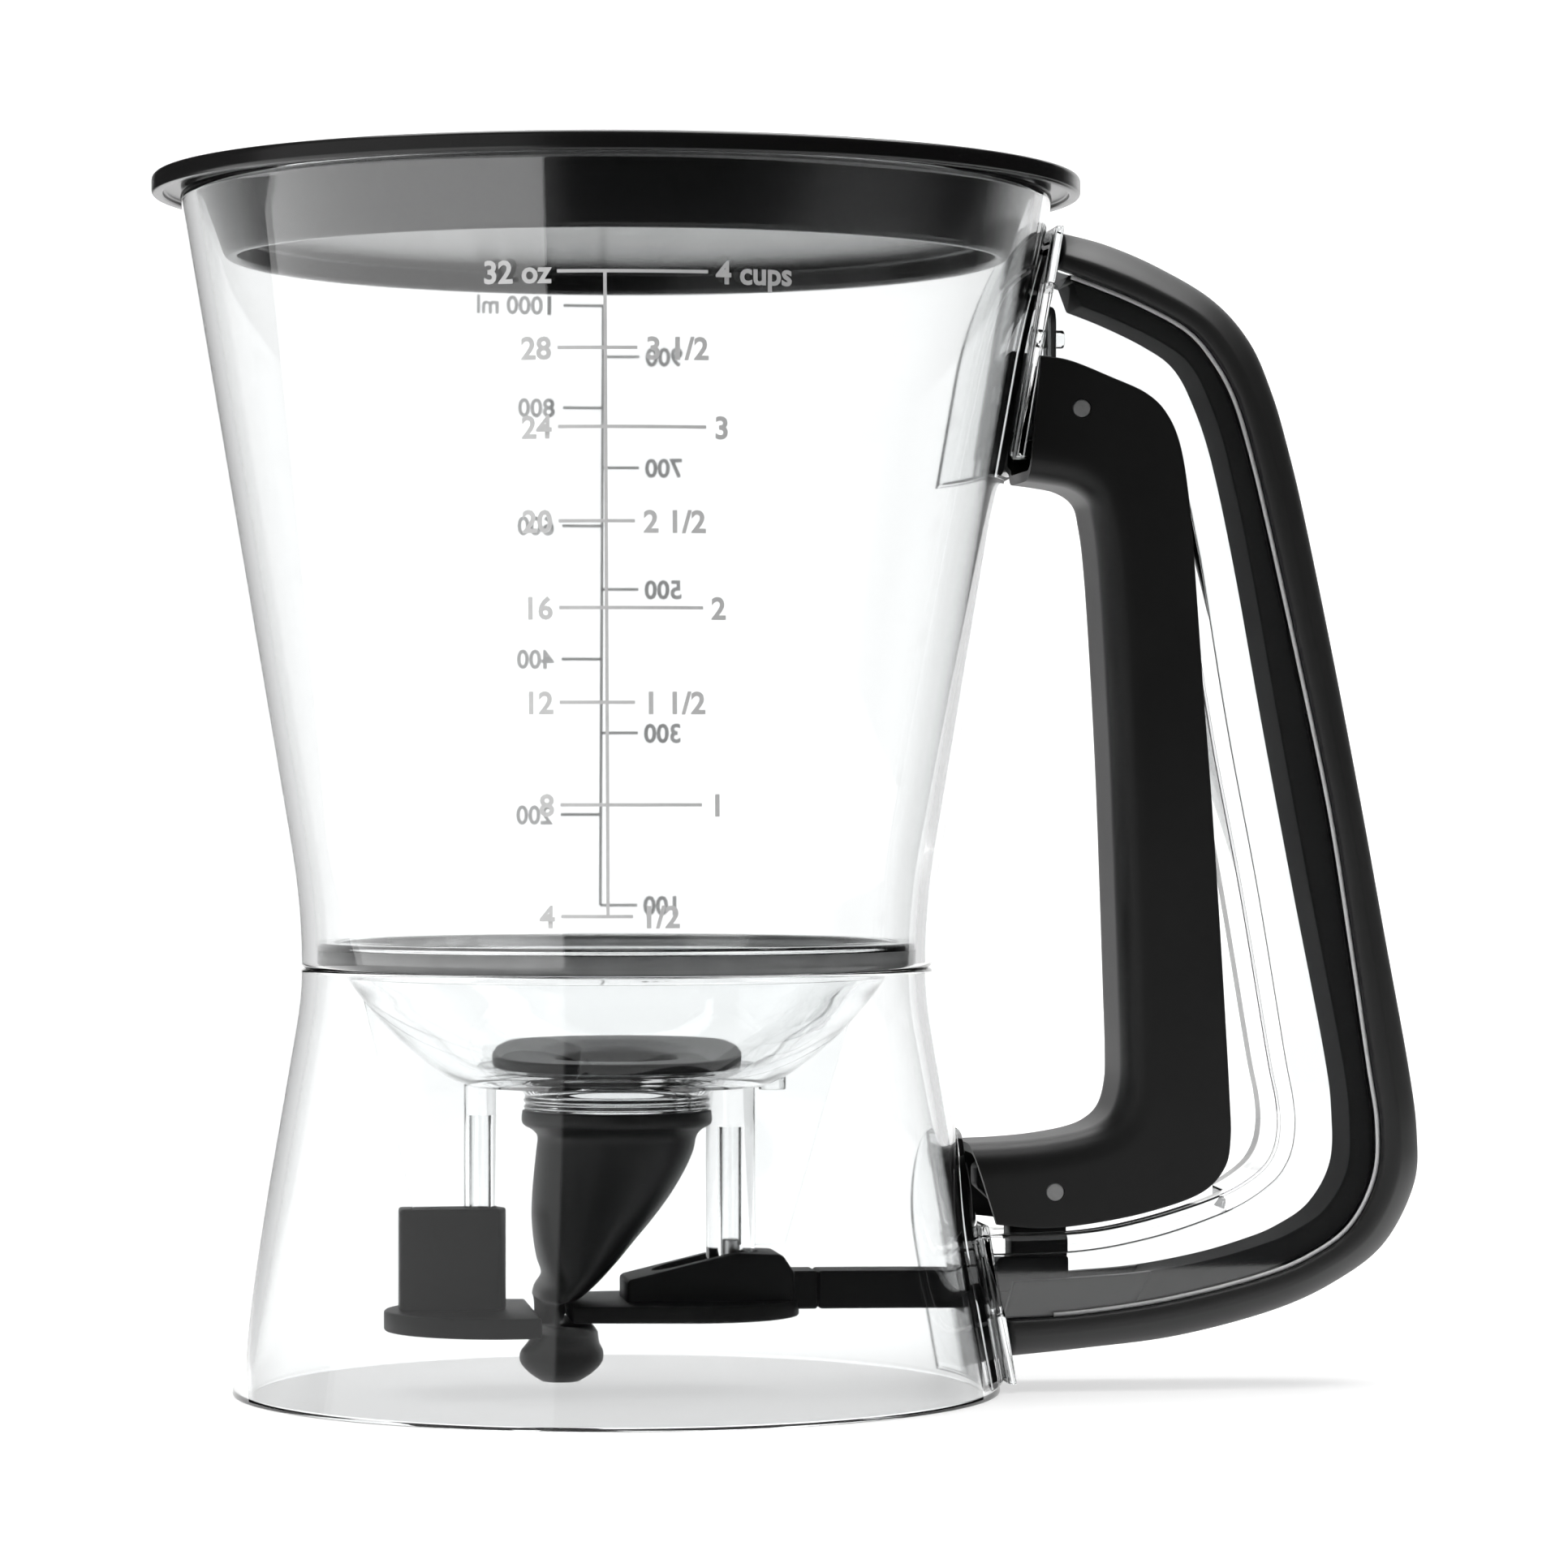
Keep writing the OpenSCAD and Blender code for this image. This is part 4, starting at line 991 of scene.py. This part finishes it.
def paper_sheet(name, share, level):
    """White paper that is partly a lamp for the camera, reflections and refractions: the share
    glows at the level, and the rest is lit, so it still takes the shadow."""
    material, t = new_material(name)
    camera_ray, glossy, refracted = ray_fields(t, "Is Camera Ray", "Is Glossy Ray", "Is Transmission Ray")
    kinds = camera_ray + glossy + refracted
    seen = kinds.maths("MINIMUM", kinds, 1.0)
    tone = noise(t, 3.0, 2.0).blend(grey(0.8), grey(0.82))
    diffuse = t.node("ShaderNodeBsdfDiffuse", {}, {"Color": tone})
    glow = t.node("ShaderNodeEmission", {}, {"Color": grey(1.0), "Strength": level})
    mix = t.node("ShaderNodeMixShader", {}, {0: share * seen, 1: diffuse, 2: glow})
    t.node("ShaderNodeOutputMaterial", {}, {"Surface": mix})
    return material


paper = paper_sheet("white paper", 0.5, 1.24)
bright_paper = paper_sheet("lit side of the paper", 1.0, 2.2)
ceiling_paper = paper_sheet("lit ceiling", 1.0, 3.0)
card = paper_sheet("dim card", 1.0, 0.6)


def turned_about(place):
    """(x, y) turned by the view angle round the vessel's axis, z kept."""
    x, y, z = place
    c, s = math.cos(view_turn), math.sin(view_turn)
    return (x * c - y * s, x * s + y * c, z)


def flat_stage(name, corners, material):
    """One flat face of floor, backdrop or card."""
    corners = [turned_about(corner) for corner in corners]
    piece = mesh_piece(name, np.array(corners, float), [range(len(corners))], closed=False, smooth=False)
    piece.data.materials.append(material)
    return piece


# %% Sheets
floor_z, top_z, far_y, left_x, right_x = -0.05, 1300, 900, -320, 500


def on_floor(*corners):
    """(x, y) corners a hair below the skirt's foot."""
    return [[x, y, floor_z] for x, y in corners]


flat_stage("floor", on_floor((-130, -215), (right_x, -215), (right_x, far_y), (left_x, far_y), (-175, 200)),
           paper)
flat_stage("floor_side", on_floor((-1800, -215), (-130, -215), (-175, 200), (-1800, 420)), bright_paper)
flat_stage("backdrop", on_floor((left_x, far_y), (right_x, far_y))
           + [[right_x, far_y, top_z], [left_x, far_y, top_z]], paper)
flat_stage("ceiling", [[left_x, far_y, top_z], [700, far_y, top_z], [700, 50, top_z], [left_x, 50, top_z]],
           ceiling_paper)
flat_stage("floor_left", on_floor((-1800, -1100), (-335, -1100), (-66, -215), (-1800, -215)), bright_paper)
left_card = flat_stage("left_card", [[-585, -1913, 0], [-1995, 140, 0], [-1995, 140, 1400],
                                     [-585, -1913, 1400]], card)
left_card.visible_camera = False


# %% Lamps
def lamp(name, place, target, width, height, power):
    """A soft rectangular lamp that points at a target."""
    light = bpy.data.lights.new(name, "AREA")
    light.shape, light.size, light.size_y, light.energy = "RECTANGLE", width, height, power
    holder = bpy.data.objects.new(name, light)
    place, target = Vector(turned_about(place)), Vector(turned_about(target))
    holder.location = place
    holder.rotation_euler = (target - place).to_track_quat("-Z", "Y").to_euler()
    bpy.context.collection.objects.link(holder)
    return holder


left_softbox = lamp("left softbox", (-1.19, -0.53, 0.5), (0, 0, 0.1), 2.3, 1.7, 42)
left_softbox.visible_glossy = left_softbox.visible_transmission = False
lamp("top softbox", (0.1, 0.1, 1.2), (0.05, 0, 0.1), 1.3, 1.1, 24)
print("lamps:", [light.name for light in bpy.data.lights])

# %% [markdown]
# ## World and camera
# The world is white where the camera looks past the paper, also through clear walls. For any
# light that was mirrored before it is a dim room, so the black pieces stay black behind the clear
# ones, and it brightens again only straight behind the vessel. The camera is level with the
# vessel's middle and far away, which keeps the perspective flat.

# %% World
world = bpy.data.worlds.new("studio")
world.use_nodes = True
world.node_tree.nodes.clear()
t = Field(world.node_tree)
camera_ray, refracted, glossy, mirrored = ray_fields(
    t, "Is Camera Ray", "Is Transmission Ray", "Is Glossy Ray", "Glossy Depth")
direction = t.node("ShaderNodeTexCoord", {}, {}, "Generated")
away = t.node("ShaderNodeSeparateXYZ", {}, {0: direction}, "Y")
behind = away * 4.0 - 1.4
behind = behind.maths("MINIMUM", behind.maths("MAXIMUM", behind, 0.0), 1.0)
straight = mirrored.maths("LESS_THAN", mirrored, 0.5)
seen = camera_ray.maths("MAXIMUM", camera_ray, refracted * behind.maths("MAXIMUM", behind, straight))
room = t.node("ShaderNodeBackground", {}, {"Color": grey(1.0), "Strength": 0.15 - 0.13 * glossy})
white = t.node("ShaderNodeBackground", {}, {"Color": grey(1.0), "Strength": 1.0})
mix = t.node("ShaderNodeMixShader", {}, {0: seen, 1: room, 2: white})
t.node("ShaderNodeOutputWorld", {}, {"Surface": mix})
bpy.context.scene.world = world

# %% Camera
camera_data = bpy.data.cameras.new("camera")
camera_data.lens, camera_data.sensor_width = 135.8, 36
camera_data.clip_start, camera_data.clip_end = 0.05, 20
camera = bpy.data.objects.new("camera", camera_data)
camera.location = turned_about((0.02543, -0.900, 0.0923))
camera.rotation_euler = (math.pi / 2, 0, view_turn)
bpy.context.collection.objects.link(camera)
bpy.context.scene.camera = camera
bpy.context.scene.view_settings.view_transform = "Standard"
print("camera at", [round(v, 4) for v in camera.location])
